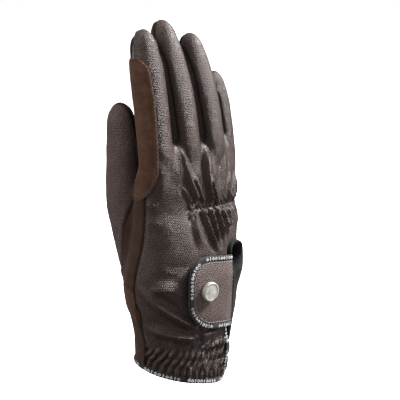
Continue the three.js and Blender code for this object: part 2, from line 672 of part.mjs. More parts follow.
const tipZone = loft(
  [TIP_PATCH_BOTTOM, FINGER_ROOT + FINGERS[0].length + FAR / 3].map((z) => {
    const middle = (fingerAxis(FINGERS[0], 1).x + fingerAxis(FINGERS[1], 1).x) / 2;
    return [
      new THREE.Vector3(-FAR, -FAR, z),
      new THREE.Vector3(middle, -FAR, z),
      new THREE.Vector3(middle, FAR, z),
      new THREE.Vector3(-FAR, FAR, z),
    ];
  }),
);
const palmSkin = edgedSkin
  .subtract(tongueCut.intersect(palmRegion))
  .subtract(thumbSkin.intersect(thumbFrontCut))
  .intersect(palmRegion);
const indexTip = mainBody(palmSkin.intersect(tipZone));
const palmPanel = mainBody(palmSkin.subtract(tipZone.translate([0, 0, -SEAM_GAP])));
const backPanel = mainBody(edgedSkin.subtract(backCut));
const strips = FINGERS.slice(1).map((finger, i) => ({
  name: `side_strip_${FINGERS[i].name}_${finger.name}`,
  body: mainBody(edgedSkin.intersect(stripBand).intersect(betweenFingers(FINGERS[i], finger))),
}));

// A layer that lies on the skin, between two distances from it.
function layer(inner, outer, low = 0) {
  return gloveForm(outer, handForm(outer, low)).subtract(gloveForm(inner, handForm(inner, low)));
}

// Suede patch on the thumb's side of the index finger: "right" is a share of that finger's width from its
// axis.
const PATCH_EDGE = [
  { up: -0.05, right: -0.66 },
  { up: 0, right: -0.57 },
  { up: 0.06, right: -0.41 },
  { up: 0.11, right: -0.32 },
  { up: 0.2, right: -0.28 },
  { up: 0.45, right: -0.25 },
  { up: 0.7, right: -0.225 },
  { up: 0.88, right: -0.24 },
  { up: 0.94, right: -0.28 },
  { up: 0.99, right: -0.4 },
  { up: 1, right: -0.6 },
];
const indexFinger = FINGERS[0];
const patchOutline = new THREE.Shape();
patchOutline.moveTo(-FAR, mix(PATCH_BOTTOM, PATCH_TOP, PATCH_EDGE[0].up));
for (const { up, right } of PATCH_EDGE) {
  const z = mix(PATCH_BOTTOM, PATCH_TOP, up);
  patchOutline.lineTo(fingerAxis(indexFinger, shareOf(indexFinger, z)).x + indexFinger.width * right, z);
}
patchOutline.lineTo(-FAR, PATCH_TOP);
const patchLayer = layer(LAYER_GAP, LAYER_GAP + SUEDE_PATCH, HAND_LENGTH / 2);
const clearOfThumb = thumbForm(LAYER_GAP + SUEDE_PATCH + SEAM_GAP);
const behindPatchFront = loft(
  seamHeights.map((z) => {
    const front = fingerAxis(indexFinger, shareOf(indexFinger, z)).y + PATCH_FRONT;
    return [
      new THREE.Vector3(-FAR, -FAR, z),
      new THREE.Vector3(FAR, -FAR, z),
      new THREE.Vector3(FAR, front, z),
      new THREE.Vector3(-FAR, front, z),
    ];
  }),
);
const indexPatch = mainBody(
  patchLayer.intersect(prism(patchOutline, -FAR, FAR)).intersect(behindPatchFront).subtract(clearOfThumb),
);

// Suede patch that wraps the heel of the thumb, drawn in Y and Z: both edges rise towards the palm. "palm"
// is how far a corner lies from the patch's start and "up" how far it has risen, as shares of HAND_DEPTH.
const HEEL_EDGES = [
  { from: HEEL_LOW, palm: 0, up: 0 },
  { from: HEEL_LOW, palm: 0.5, up: 0.53 },
  { from: HEEL_LOW, palm: 3, up: 0.62 },
  { from: HEEL_HIGH, palm: 3, up: 0.41 },
  { from: HEEL_HIGH, palm: 0.735, up: 0.353 },
  { from: HEEL_HIGH, palm: 0, up: 0 },
];
const heelCorner = ({ from, palm, up }) =>
  new THREE.Vector2(HEEL_START + HAND_DEPTH * palm, from + HAND_DEPTH * up);
const heelOutline = new THREE.Shape(HEEL_EDGES.map(heelCorner));
const heelGeometry = new THREE.ExtrudeGeometry(heelOutline, { depth: FAR + 5, bevelEnabled: false });
heelGeometry.rotateX(Math.PI / 2).rotateZ(Math.PI / 2).translate(-FAR, 0, 0);
const heelLayer = layer(LAYER_GAP, LAYER_GAP + SUEDE_PATCH, HAND_LENGTH / 20);
const heelPatch = mainBody(heelLayer.subtract(tongueCut).intersect(solid(heelGeometry)));

// Bindings and facing
const wrapped = (out, low, high) => handForm(out, low, high).subtract(handHollow(-WALL - BINDING_OUT));
const hemRing = wrapped(BINDING_OUT, 0, BINDING_WIDTH);
const cuffBand = wrapped(BINDING_OUT, 0, HAND_LENGTH / 2);
const slitLegs = slitStrip(-BINDING_WIDTH, 0, LEG_TOP - SEAM_GAP).add(
  slitStrip(0, BINDING_WIDTH, FACING_FOOT - SEAM_GAP),
);
const hemBinding = mainBody(hemRing.add(cuffBand.intersect(slitLegs)).subtract(slitZone));
const tabOut = LAYER_GAP + PAD_THICKNESS + LAYER_GAP;
const facingBand = wrapped(tabOut + TAB_THICKNESS / 2, 0, HAND_LENGTH - SLIT_HOLE_LENGTH);
const facing = mainBody(facingBand.intersect(onBack(facingOutline(0))).subtract(slitZone));

// Tab: a rounded end on the back of the wrist, its root sewn to the facing.
function tabOutline(inset) {
  const left = SLIT_X - TAB_LENGTH + inset;
  const right = SLIT_X - SEAM_GAP;
  const low = TAB_BOTTOM + inset;
  const high = TAB_BOTTOM + TAB_HEIGHT - inset;
  const corner = TAB_CORNER - inset;
  const shape = new THREE.Shape();
  shape.moveTo(right, low);
  shape.lineTo(right, high);
  shape.lineTo(left + corner, high);
  shape.absarc(left + corner, high - corner, corner, Math.PI / 2, Math.PI, false);
  shape.absarc(left + corner, low + corner, corner, Math.PI, 1.5 * Math.PI, false);
  const points = shape.getPoints(6);
  return new THREE.Shape(points.map((p) => new THREE.Vector2(p.x, p.y + TAB_SLOPE * (SLIT_X - p.x))));
}

const tabLayer = layer(tabOut, tabOut + TAB_THICKNESS);
const clearOfFacing = facingBand.intersect(onBack(facingOutline(SEAM_GAP)));
const tab = mainBody(tabLayer.intersect(onBack(tabOutline(bound))).subtract(clearOfFacing));
const tabBinding = mainBody(
  layer(tabOut - LAYER_GAP / 2, tabOut + TAB_THICKNESS + LAYER_GAP)
    .intersect(onBack(tabOutline(0)))
    .subtract(onBack(tabOutline(BINDING_WIDTH)))
    .subtract(clearOfFacing),
);
const closurePad = mainBody(
  layer(LAYER_GAP, LAYER_GAP + PAD_THICKNESS)
    .intersect(onBack(tabOutline(PAD_MARGIN)))
    .subtract(facingZone)
    .subtract(boundZone),
);

// Metal cap in the middle of the tab: a flat-topped dome, set square to the leather under it.
const capX = SLIT_X - 0.6 * TAB_LENGTH;
const capZ = TAB_BOTTOM + 0.53 * TAB_HEIGHT + TAB_SLOPE * (SLIT_X - capX);
const capLevel = capZ + (HEM_TILT * HAND_DEPTH) / 3;
const capSection = handSection(capLevel);
const capAngle = (Math.asin((capX - capSection.across) / capSection.half) * 180) / Math.PI;
const capOut = tabOut + TAB_THICKNESS + LAYER_GAP;
const capSeat = handPoint(capAngle, capLevel, capOut).setZ(capZ);
const capLift = handPoint(capAngle, capLevel, capOut + 10).sub(capSeat).setZ(0).normalize();
const capProfile = [
  new THREE.Vector2(0, 0),
  new THREE.Vector2(CAP_DIAMETER / 2 - 0.3, 0),
  new THREE.Vector2(CAP_DIAMETER / 2, 0.35 * CAP_HEIGHT),
  new THREE.Vector2(CAP_DIAMETER / 2 - 0.35, 0.65 * CAP_HEIGHT),
  new THREE.Vector2(CAP_DIAMETER / 2 - 1.2, 0.9 * CAP_HEIGHT),
  new THREE.Vector2(0, CAP_HEIGHT),
];
const capGeometry = new THREE.LatheGeometry(capProfile, 20);
const turn = new THREE.Quaternion().setFromUnitVectors(new THREE.Vector3(0, 1, 0), capLift);
capGeometry.applyQuaternion(turn).translate(capSeat.x, capSeat.y, capSeat.z);
const cap = mainBody(solid(capGeometry).subtract(handForm(capOut)));

// Materials and the assembly
const leather = new THREE.MeshStandardMaterial({ color: 0x3e3433, roughness: 0.55, metalness: 0 });
const suede = new THREE.MeshStandardMaterial({ color: 0x4a3426, roughness: 0.95, metalness: 0 });
const smooth = new THREE.MeshStandardMaterial({ color: 0x2c2a2c, roughness: 0.5, metalness: 0 });
const trim = new THREE.MeshStandardMaterial({ color: 0x141414, roughness: 0.7, metalness: 0 });
const stretch = new THREE.MeshStandardMaterial({ color: 0x1a191b, roughness: 0.85, metalness: 0 });
const metal = new THREE.MeshStandardMaterial({ color: 0xd8d4c8, roughness: 0.3, metalness: 1 });

function piece(name, body, material) {
  const made = body.getMesh();
  const geometry = new THREE.BufferGeometry();
  geometry.setAttribute("position", new THREE.Float32BufferAttribute(made.vertProperties, 3));
  geometry.setIndex(new THREE.BufferAttribute(made.triVerts, 1));
  geometry.computeVertexNormals();
  const mesh = new THREE.Mesh(geometry, material);
  mesh.name = name;
  return mesh;
}

const assembly = new THREE.Group();
assembly.add(
  piece("back_panel", backPanel, leather),
  piece("palm_panel", palmPanel, suede),
  piece("thumb_back", thumbBack, leather),
  piece("thumb_front", thumbFront, suede),
  piece("index_fingertip", indexTip, smooth),
  piece("index_patch", indexPatch, suede),
  piece("heel_patch", heelPatch, suede),
  piece("hem_binding", hemBinding, trim),
  piece("slit_facing", facing, stretch),
  piece("tab", tab, leather),
  piece("tab_binding", tabBinding, trim),
  piece("closure_pad", closurePad, stretch),
  piece("tab_cap", cap, metal),
);
for (const strip of strips) assembly.add(piece(strip.name, strip.body, leather));

export default assembly;
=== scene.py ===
# A right-hand riding glove in the shape it has when worn.
# Sizes are in millimetres; every finished mesh is written in metres.
# The origin is the centre of the wrist opening. +X points to the little finger, +Y out of the palm and +Z to
# the fingertips.
import math

import bpy
import numpy as np
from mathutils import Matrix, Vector, noise
from mathutils.bvhtree import BVHTree


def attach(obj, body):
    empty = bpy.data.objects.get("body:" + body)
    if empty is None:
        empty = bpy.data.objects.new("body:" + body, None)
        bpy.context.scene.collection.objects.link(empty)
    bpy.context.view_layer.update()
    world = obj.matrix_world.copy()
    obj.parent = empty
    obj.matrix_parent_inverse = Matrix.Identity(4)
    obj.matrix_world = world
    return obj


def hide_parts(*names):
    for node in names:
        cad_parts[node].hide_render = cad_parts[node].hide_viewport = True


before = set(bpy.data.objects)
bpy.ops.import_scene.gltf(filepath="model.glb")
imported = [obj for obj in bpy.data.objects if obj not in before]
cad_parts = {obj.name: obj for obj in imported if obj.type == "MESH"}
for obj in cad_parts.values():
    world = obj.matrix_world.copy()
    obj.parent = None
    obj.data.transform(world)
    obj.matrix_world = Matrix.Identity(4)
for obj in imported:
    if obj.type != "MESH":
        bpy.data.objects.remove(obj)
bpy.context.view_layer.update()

# Sizes that the solids have too
METRES = 0.001
WALL = 1.2
LAYER_GAP = 0.3
HAND_LENGTH = 153.0
HAND_WIDTH = 80.0
HAND_DEPTH = 34.0
CUFF_WIDTH = 62.0
CUFF_DEPTH = 45.0
HEM_TILT = 0.23
HEM_SLANT = -0.2
FINGER_ROOT = 135.0
THUMB_ROOT = 43.0
THUMB_LENGTH = 134.7
THUMB_WIDTH = 27.2
THUMB_TIP = 14.5
THUMB_BACK_AZIMUTH = -60.0
THUMB_SEAM_OUT = 2.0
THUMB_PARTING = 112.0
ELASTIC_LEVEL = 110.0
WAIST_DEPTH = 1.2
ROUNDNESS = 2.25
SIDE_STRIP_WIDTH = 11.0
STRIP_BELOW_WEB = 6.0
STRIP_TIP = 6.0
SUEDE_PATCH = 1.0
BINDING_WIDTH = 3.3
BINDING_OUT = 0.7
SLIT_X = 25.3
SLIT_GAP = 0.3
SLIT_LENGTH = 83.0
SLIT_HOLE_WIDTH = 9.0
SLIT_HOLE_LENGTH = 18.0
SLIT_HOLE_SHIFT = 6.5
FACING_WIDTH = 9.0
FACING_FOOT = 18.0
TAB_LENGTH = 38.6
TAB_HEIGHT = 48.0
TAB_BOTTOM = 29.7
TAB_SLOPE = 0.1
TAB_CORNER = 18.5  # a little rounder than the solid's
TAB_THICKNESS = 1.6
TAB_OUT = 1.8
PAD_THICKNESS = 1.2
PAD_MARGIN = 7.0
CAP_DIAMETER = 12.6
CAP_HEIGHT = 2.4
PATCH_TOP = 207.0
PATCH_BOTTOM = 118.0
PATCH_FRONT = 8.0
TIP_PATCH_BOTTOM = 203.0
HEEL_LOW = 34.0
HEEL_HIGH = 57.0
HEEL_START = -2.5

# Sizes that only the finished surface has
GRID = 0.8
SHEET_GRID = 0.5
PATH_STEP = 0.6
SOFTENING = 24.0
CUFF_CORNER = 6.0
SEAM_SINK = 0.55
SEAM_REACH = 0.8
SEAM_LIP = 0.2
# Reach of the painted shade that darkens the colour in the sunk seam grooves.
PAINTED_SEAM_SHADE_REACH = 0.9
STITCH_PITCH = 2.9
STITCH_LENGTH = 2.1
STITCH_WIDTH = 0.5
STITCH_DIP = 0.12
STITCH_SINK = 0.3
STITCH_INSET = 2.0
TAB_STITCH_PITCH = 2.4
PATCH_STITCH_INSET = 1.5
DROP = 6.0  # height from which stitches are dropped onto a piece
LONG_WAVES = 0.3
SHORT_WAVES = 0.14
PATCH_WAVES = 0.1
PATCH_EDGE_RADIUS = 1.1
PATCH_CLEARANCE = 0.05
TAB_FULLNESS = 0.35
TAB_WAVES = 0.12
TAB_BINDING_OUT = 0.45
BINDING_CORNER = 0.9
ROUND_STEPS = 4  # in each rounded edge of a binding
HEM_TUCK = 0.36  # share of the binding's width that covers the leather
MOTIF_PITCH = 2.5
MOTIF_GROUP = 12.0  # steps from one group of motifs to the next
DIAMOND_SIZE = 0.85
PLAIN_END = (0.0, 4.0)  # a place on the tape beside its motif, for the ends
FACING_SINK = -0.6
FACING_ROLL = 3.2
LOOP_ROLL = 5.4
FACING_RADIUS = 2.2
FACING_WAVES = 0.15
CAP_STEPS = ((0.5, 0.25), (0.55, 0.05), (0.5, -0.25), (1.4, 0.14), (1.6, 0.1))  # inset and rise of each
CAP_BEVEL = 0.18
FOLD_STRENGTH = 1.4
FOLD_FLANK = 2.1
FOLD_SHARPNESS = 1.7
VALLEY_SHARE = 0.4
VALLEY_PLACE = 2.2
SLIT_CURL = 2.4
SLIT_CURL_REACH = 8.0
FLAP_LEAN = 0.45
GATHER_START = -22.0  # degrees round the hand
GATHER_END = 84.0
GATHER_PITCH = 2.9
CROSS_PITCH = 5.3
GATHER_HEIGHT = 0.42
GATHER_REACH = 4.2
ELASTIC_SINK = 0.7
ELASTIC_REACH = 1.5
PUFF_ROWS = 4
PUFF_EDGE = -88.0  # degrees round the hand
PUFF_TOPS = (18, 27)  # at the puffs' left edge and at the slit
PUFF_LEAF = (1.8, 5.6)  # half width and half length
PUFF_HEIGHT = 2.0
PUFF_PITCH = 4.6
PUFF_RISE = 6.0
PUFF_START = 6.5
PUFF_LEAN = 27.0
BACK_FADE = 84.0  # degrees round the hand where the folds start to fade, and where they end
BACK_END = 92.0
KNUCKLE_FADE = 12.0
KNUCKLE_END = 4.0
UNDER_TAB = 0.12
BESIDE_FACING = 0.2

# The photograph's camera and light
CAMERA_AZIMUTH = -41.0
CAMERA_ELEVATION = 10.0
CAMERA_DISTANCE = 1100.0
CAMERA_ANGLE = 13.7
CAMERA_RIGHT = 14.2
CAMERA_UP = 111.8
ROOM_LIGHT = 0.34
CEILING_LIGHT = 0.9
FLOOR_GLOW = 0.9
# Name, place to the camera's right, up and towards it, size and power of each lamp
LAMPS = [
    ("key_lamp", 1.2, 1.2, -0.25, 0.4, 100),
    ("side_card", 1.2, -0.6, 0.15, 0.5, 24),
    ("thumb_card", -1.0, 0.6, 0.75, 0.5, 13),
]


# Tables
def table(columns, rows):
    """Rows of numbers under named columns."""
    return dict(zip(columns.split(), np.array(rows, float).T))


HAND_SECTIONS = table("at hand wide deep across arch lift", [
    (-0.14, 0, 1, 1, 0, 0, 0),
    (0.03, 0, 1, 1, 0, 0, 0),
    (0.1, 0, 1.026, 1.02, 0.01, 0, 0),
    (0.165, 0.15, 1.036, 1.084, 0.02, 0, 0),
    (0.23, 0.3, 1.062, 1.137, 0.021, 0, 0),
    (0.295, 0.5, 1.087, 1.225, 0.021, 0, 0),
    (0.36, 0.6, 1.099, 1.27, 0.02, 0, 0),
    (0.425, 0.7, 1.099, 1.34, 0.0275, 0, 0),
    (0.49, 0.8, 1.081, 1.326, 0.046, 0.02, 0),
    (0.555, 0.9, 1.05, 1.29, 0.072, 0.06, 0),
    (0.64, 1, 1.03, 1.21, 0.09, 0.1, 0),
    (0.705, 1, 1.025, 1.1, 0.095, 0.12, 0),
    (0.77, 1, 1.05, 1.02, 0.11, 0.14, 0),
    (0.83, 1, 1.04, 0.9, 0.11, 0.15, 0.02),
    (0.88, 1, 1.02, 0.78, 0.11, 0.16, 0.05),
    (0.93, 1, 0.98, 0.62, 0.11, 0.16, 0.07),
    (0.97, 1, 0.93, 0.45, 0.11, 0.15, 0.07),
    (1, 1, 0.86, 0.28, 0.11, 0.14, 0.07),
])
FINGERS = table("length width tip across palm curl lean bend", [
    (89.8, 21, 15, -0.25, -0.09, 0.2, 0.02, 1.35),
    (94.8, 20.4, 13, 0.036, -0.12, 0.29, 0, 1.7),
    (85.5, 19.4, 13, 0.308, -0.12, 0.27, -0.02, 1.8),
    (59.5, 16.6, 11, 0.538, 0.12, 0.17, -0.04, 1.6),
])
FINGER_NAMES = ["index", "middle", "ring", "little"]
FINGER_START = -0.35
FINGER_SHAPE = table("at girth", [
    (-0.35, 0.8),
    (0, 0.98),
    (0.25, 1.01),
    (0.5, 1.02),
    (0.68, 0.99),
    (0.78, 0.93),
    (0.86, 0.83),
    (1, 0.62),
])
THUMB_SECTIONS = table("at across palm girth", [
    (0, -0.161, 0.368, 0.66),
    (0.09, -0.196, 0.418, 0.8),
    (0.17, -0.224, 0.476, 0.9),
    (0.275, -0.254, 0.512, 0.96),
    (0.42, -0.299, 0.576, 0.957),
    (0.51, -0.334, 0.624, 0.912),
    (0.65, -0.349, 0.626, 0.846),
    (0.79, -0.3525, 0.62, 0.8),
    (0.892, -0.366, 0.638, 0.684),
    (1, -0.376, 0.647, 0.55),
])
SIDE_SEAM = table("at palm", [
    (-0.2, -0.07),
    (0, -0.07),
    (0.12, -0.13),
    (0.2, -0.1),
    (0.29, -0.15),
    (0.34, -0.05),
    (0.45, -0.09),
    (0.6, -0.155),
    (0.74, -0.16),
])
# Folds and pleats: degrees round the hand and levels at the start, middle and end of each, its reach and
# height on the leather, and how far along it stays full. A negative height is a valley.
FOLDS = table("angle level by_angle by_level to_angle to_level reach height hold", [
    (-28.3, 155.5, -23.7, 142.0, -19.0, 122.8, 4.5, 0.7, 0.7),
    (-21.0, 154.0, -18.7, 140.0, -6.3, 114.8, 2.0, 1.6, 0.95),
    (-10.3, 133.8, -6.3, 124.5, -0.7, 113.5, 1.3, 1.3, 0.95),
    (9.0, 153.5, 3.3, 135.0, 7.0, 112.8, 1.6, 1.8, 0.95),
    (6.7, 131.0, 8.7, 121.8, 15.0, 111.2, 1.3, 1.4, 0.95),
    (34.3, 147.5, 25.0, 130.5, 25.0, 111.8, 2.4, 1.0, 0.95),
    (41.0, 130.5, 32.3, 120.8, 33.7, 110.8, 1.3, 1.2, 0.95),
    (60.0, 134.0, 47.0, 120.8, 45.7, 109.8, 1.6, 1.0, 0.95),
    (75.0, 128.0, 66.0, 120.0, 62.0, 109.8, 1.8, 0.9, 0.95),
    (-22.0, 126.2, -18.0, 120.2, -12.3, 113.5, 1.3, 0.8, 0.9),
    (-1.3, 83.0, -8.7, 97.0, -7.0, 109.8, 2.2, 1.0, 0.95),
    (15.3, 78.8, 4.0, 93.0, -1.3, 109.2, 1.4, 1.6, 0.95),
    (13.3, 82.5, 9.7, 95.0, 6.0, 108.5, 1.3, 1.3, 0.95),
    (21.0, 82.8, 17.0, 96.8, 13.3, 107.8, 1.3, 1.4, 0.95),
    (26.0, 86.0, 25.7, 98.2, 20.7, 107.0, 1.2, 1.3, 0.95),
    (30.3, 89.0, 35.0, 99.8, 30.7, 106.0, 1.2, 1.2, 0.95),
    (48.0, 86.0, 46.0, 98.0, 42.0, 106.0, 1.6, 1.1, 0.95),
    (64.0, 90.0, 60.0, 100.0, 56.0, 106.0, 1.6, 0.9, 0.95),
    (-16.0, 102.5, -13.7, 107.2, -11.3, 111.5, 1.5, 0.9, 0.95),
    (-84.0, 66.0, -46.0, 50.8, -5.3, 37.2, 2.4, 2.3, 0.85),
    (-67.3, 62.8, -45.3, 62.2, -23.0, 61.8, 3.4, 1.3, 0.7),
    (-80.7, 38.2, -43.7, 34.0, -5.3, 31.0, 2.6, 2.1, 0.85),
    (-62.7, 51.5, -36.0, 44.0, -13.3, 40.0, 3.0, -1.2, 0.7),
    (-5.3, 32.2, 2.0, 33.0, 23.0, 32.8, 4.5, 1.9, 0.7),
    (-81.7, 30.5, -75.0, 24.2, -65.7, 18.2, 1.1, 0.9, 0.7),
    (-69.3, 34.2, -61.0, 27.5, -53.3, 19.5, 1.1, 0.9, 0.7),
    (-39.7, 33.5, -41.0, 28.5, -39.0, 23.2, 1.1, 0.7, 0.7),
    (-2.0, 32.0, -15.3, 27.8, -24.3, 20.8, 1.1, 1.0, 0.7),
    (13.0, 29.0, 2.3, 26.2, -2.3, 21.0, 1.4, 1.0, 0.7),
    (31.0, 25.2, 10.7, 25.0, 6.0, 20.5, 1.6, 0.9, 0.7),
    (-72.7, 118.0, -62.0, 114.2, -50.3, 112.8, 3.0, 0.6, 0.6),
    (-79.0, 103.8, -63.0, 102.8, -48.7, 104.0, 3.0, 0.5, 0.6),
    (-11.7, 78.0, -29.3, 75.8, -50.7, 78.5, 5.0, -0.6, 0.6),
    (-18.0, 65.0, -40.0, 69.0, -65.0, 70.8, 4.0, -0.5, 0.6),
])
TONGUE_RIGHT = table("up right", [
    (1.2, 0.9),
    (0.62, 0.5),
    (0.55, 0.38),
    (0.47, 0.18),
    (0.41, 0),
    (0.35, -0.1),
    (0.21, -0.31),
    (0.165, -0.4),
])
TONGUE_LEFT = table("up right", [
    (0.21, -0.52),
    (0.36, -0.72),
    (0.52, -0.85),
    (1.2, -0.95),
])
PATCH_EDGE = table("up right", [
    (-0.05, -0.66),
    (0, -0.57),
    (0.06, -0.41),
    (0.11, -0.32),
    (0.2, -0.28),
    (0.45, -0.25),
    (0.7, -0.225),
    (0.88, -0.24),
    (0.94, -0.28),
    (0.99, -0.4),
    (1, -0.6),
])
FAR = 90.0


# Small sums
def mix(a, b, share):
    return a + (b - a) * share


def ease(value, low, high):
    share = np.clip((value - low) / (high - low), 0, 1)
    return share * share * (3 - 2 * share)


def hump(distance, reach):
    """1 on a line, falling softly to 0 beside it."""
    return np.exp(-((distance / reach) ** 2))


def signed_power(value, power):
    return np.sign(value) * np.abs(value) ** power


def unit(vectors):
    return vectors / np.maximum(np.linalg.norm(vectors, axis=-1, keepdims=True), 1e-12)


def lengths_along(path):
    """Distance from a path's start to each of its points."""
    return np.concatenate([[0], np.cumsum(np.linalg.norm(np.diff(path, axis=0), axis=1))])


def read(rows, key, at):
    """One column of a table, on a smooth curve through its rows."""
    places, values = rows["at"], rows[key]
    slope = np.empty(len(places))
    slope[1:-1] = (values[2:] - values[:-2]) / (places[2:] - places[:-2])
    slope[0] = (values[1] - values[0]) / (places[1] - places[0])
    slope[-1] = (values[-1] - values[-2]) / (places[-1] - places[-2])
    place = np.clip(at, places[0], places[-1])
    i = np.clip(np.searchsorted(places, place, side="right") - 1, 0, len(places) - 2)
    span = places[i + 1] - places[i]
    t = (place - places[i]) / span
    rise = values[i + 1] - values[i]
    start = slope[i] * span
    end = slope[i + 1] * span
    return values[i] + start * t + (3 * rise - 2 * start - end) * t**2 + (start + end - 2 * rise) * t**3


# The hand
def hand_section(level):
    at = np.asarray(level, float) / HAND_LENGTH
    hand = read(HAND_SECTIONS, "hand", at)
    return {
        "half": mix(CUFF_WIDTH, HAND_WIDTH, hand) * read(HAND_SECTIONS, "wide", at) / 2,
        "thick": mix(CUFF_DEPTH, HAND_DEPTH, hand) * read(HAND_SECTIONS, "deep", at) / 2,
        "across": HAND_WIDTH * read(HAND_SECTIONS, "across", at),
        "arch": HAND_DEPTH * read(HAND_SECTIONS, "arch", at),
        "lift": HAND_DEPTH * read(HAND_SECTIONS, "lift", at),
    }


def waist_at(level):
    return WAIST_DEPTH * hump(level - ELASTIC_LEVEL, 0.06 * HAND_LENGTH)


def hem_lean(level):
    """How much the level line rises for each millimetre to the palm and to the little finger."""
    tilt = HEM_TILT * (1 - ease(level, 0.05 * HAND_LENGTH, 0.7 * HAND_LENGTH))
    slant = HEM_SLANT * (1 - ease(level, 0, 0.25 * HAND_LENGTH))
    return tilt, slant


def hand_point(angle, level, offset=0.0):
    """Points on the hand, by degrees round it from the middle of its back and by level from the hem."""
    angle, level, offset = np.broadcast_arrays(np.asarray(angle, float), np.asarray(level, float), offset)
    section = hand_section(level)
    c = signed_power(np.sin(np.radians(angle)), 2 / ROUNDNESS)
    s = signed_power(-np.cos(np.radians(angle)), 2 / ROUNDNESS)
    x = section["half"] * c
    y = section["thick"] * s
    out = unit(np.stack([x / section["half"] ** 2, y / section["thick"] ** 2], -1)) * offset[..., None]
    back = np.clip(np.cos(np.radians(angle)), 0, None)
    px = section["across"] + x + out[..., 0]
    arch = section["arch"] * np.clip(c, 0, None) ** 2
    py = y + out[..., 1] + arch + waist_at(level) * back - section["lift"]
    tilt, slant = hem_lean(level)
    return np.stack([px, py, level + tilt * py + slant * px], -1)


def hand_normal(angle, level):
    """Outward directions of the hand's surface."""
    round_it = hand_point(angle + 0.5, level) - hand_point(angle - 0.5, level)
    up_it = hand_point(angle, level + 0.5) - hand_point(angle, level - 0.5)
    return unit(np.cross(round_it, up_it))


def hand_place(points):
    """Level and degrees round the hand of points near its surface."""
    x, y, z = points.T
    level = z.copy()
    for _ in range(10):
        tilt, slant = hem_lean(level)
        level = z - tilt * y - slant * x
    section = hand_section(level)
    c = (x - section["across"]) / section["half"]
    back = np.clip(-y / section["thick"], 0, 1)
    s = y + section["lift"] - section["arch"] * np.clip(c, 0, 1.2) ** 2 - waist_at(level) * back
    s = s / section["thick"]
    angle = np.degrees(np.arctan2(signed_power(c, ROUNDNESS / 2), -signed_power(s, ROUNDNESS / 2)))
    size = (np.abs(c) ** ROUNDNESS + np.abs(s) ** ROUNDNESS) ** (1 / ROUNDNESS)
    away = (size - 1) * np.minimum(section["half"], section["thick"])
    return level, angle, away


ARC_LEVELS = np.linspace(0, HAND_LENGTH, 80)
ARC_ANGLES = np.linspace(-270, 450, 721)


def arc_table():
    """Distance round the hand from the middle of its back, for each level and angle."""
    rings = hand_point(ARC_ANGLES[None, :], ARC_LEVELS[:, None])
    steps = np.linalg.norm(np.diff(rings[..., :2], axis=1), axis=-1)
    lengths = np.concatenate([np.zeros((len(ARC_LEVELS), 1)), np.cumsum(steps, axis=1)], axis=1)
    middle = int(np.argmin(np.abs(ARC_ANGLES)))
    return lengths - lengths[:, middle : middle + 1]


ARCS = arc_table()
HEM_ROUND = ARCS[2, -1] - ARCS[2, len(ARC_ANGLES) // 2]  # once round the hand beside the hem


def arc_at(level, angle):
    """Millimetres round the hand from the middle of its back."""
    row = np.clip(level / HAND_LENGTH, 0, 1) * (len(ARC_LEVELS) - 1)
    column = np.clip(np.asarray(angle, float) - ARC_ANGLES[0], 0, len(ARC_ANGLES) - 1.001)
    r = np.minimum(row.astype(int), len(ARC_LEVELS) - 2)
    k = column.astype(int)
    low = mix(ARCS[r, k], ARCS[r, k + 1], column - k)
    high = mix(ARCS[r + 1, k], ARCS[r + 1, k + 1], column - k)
    return mix(low, high, row - r)


def angle_at(level, arc):
    """Degrees round the hand of a distance round it."""
    level, arc = np.broadcast_arrays(np.asarray(level, float), np.asarray(arc, float))
    row = np.rint(np.clip(level / HAND_LENGTH, 0, 1) * (len(ARC_LEVELS) - 1)).astype(int)
    angles = [np.interp(a, ARCS[r], ARC_ANGLES) for r, a in zip(row.ravel(), arc.ravel())]
    return np.array(angles).reshape(arc.shape)


def arc_of_slit(level):
    """Distance round the hand at which the wrist slit runs."""
    section = hand_section(level)
    share = np.clip((SLIT_X - section["across"]) / section["half"], -1, 1)
    angle = np.degrees(np.arcsin(share ** (ROUNDNESS / 2)))
    return arc_at(np.asarray(level, float), angle)


# Fingers and thumb
def finger_axis(i, share):
    top = np.clip(share, FINGER_START, 1)
    bend = np.clip(top, 0, None) ** FINGERS["bend"][i]
    length = FINGERS["length"][i]
    x = HAND_WIDTH * FINGERS["across"][i] + length * FINGERS["lean"][i] * top
    y = HAND_DEPTH * FINGERS["palm"][i] + length * FINGERS["curl"][i] * bend
    return np.stack([x, y, FINGER_ROOT + length * top], -1)


def finger_girth(i, share):
    return FINGERS["width"][i] / 2 * read(FINGER_SHAPE, "girth", share)


def finger_share(i, z):
    return (z - FINGER_ROOT) / FINGERS["length"][i]


def thumb_axis(share):
    x = HAND_WIDTH * read(THUMB_SECTIONS, "across", share)
    y = HAND_DEPTH * read(THUMB_SECTIONS, "palm", share)
    return np.stack([x, y, THUMB_ROOT + THUMB_LENGTH * np.clip(share, 0, 1)], -1)


def thumb_girth(share):
    return THUMB_WIDTH / 2 * read(THUMB_SECTIONS, "girth", share)


def digit_rings(axis, girth, start, length, tip):
    """Round rings along a finger's axis, closed by a rounded tip."""
    ends = 1 - tip / length
    shares = np.linspace(start, ends, int(length / 1.5))
    tip_turns = np.radians(np.linspace(0, 84, 12)[1:])
    shares = np.concatenate([shares, np.full(len(tip_turns), ends)])
    radii = girth(shares)
    radii[-len(tip_turns) :] = girth(np.array([ends]))[0] * np.cos(tip_turns)
    forward = np.zeros(len(shares))
    forward[-len(tip_turns) :] = tip * np.sin(tip_turns)
    along = unit(axis(shares + 0.01) - axis(shares - 0.01))
    side = unit(np.array([1.0, 0, 0]) - along * along[:, :1])
    palm = np.cross(along, side)
    turn = np.linspace(0, 2 * math.pi, 56, endpoint=False)
    circle = side[:, None] * np.cos(turn)[:, None] + palm[:, None] * np.sin(turn)[:, None]
    return (axis(shares) + along * forward[:, None])[:, None] + circle * radii[:, None, None]


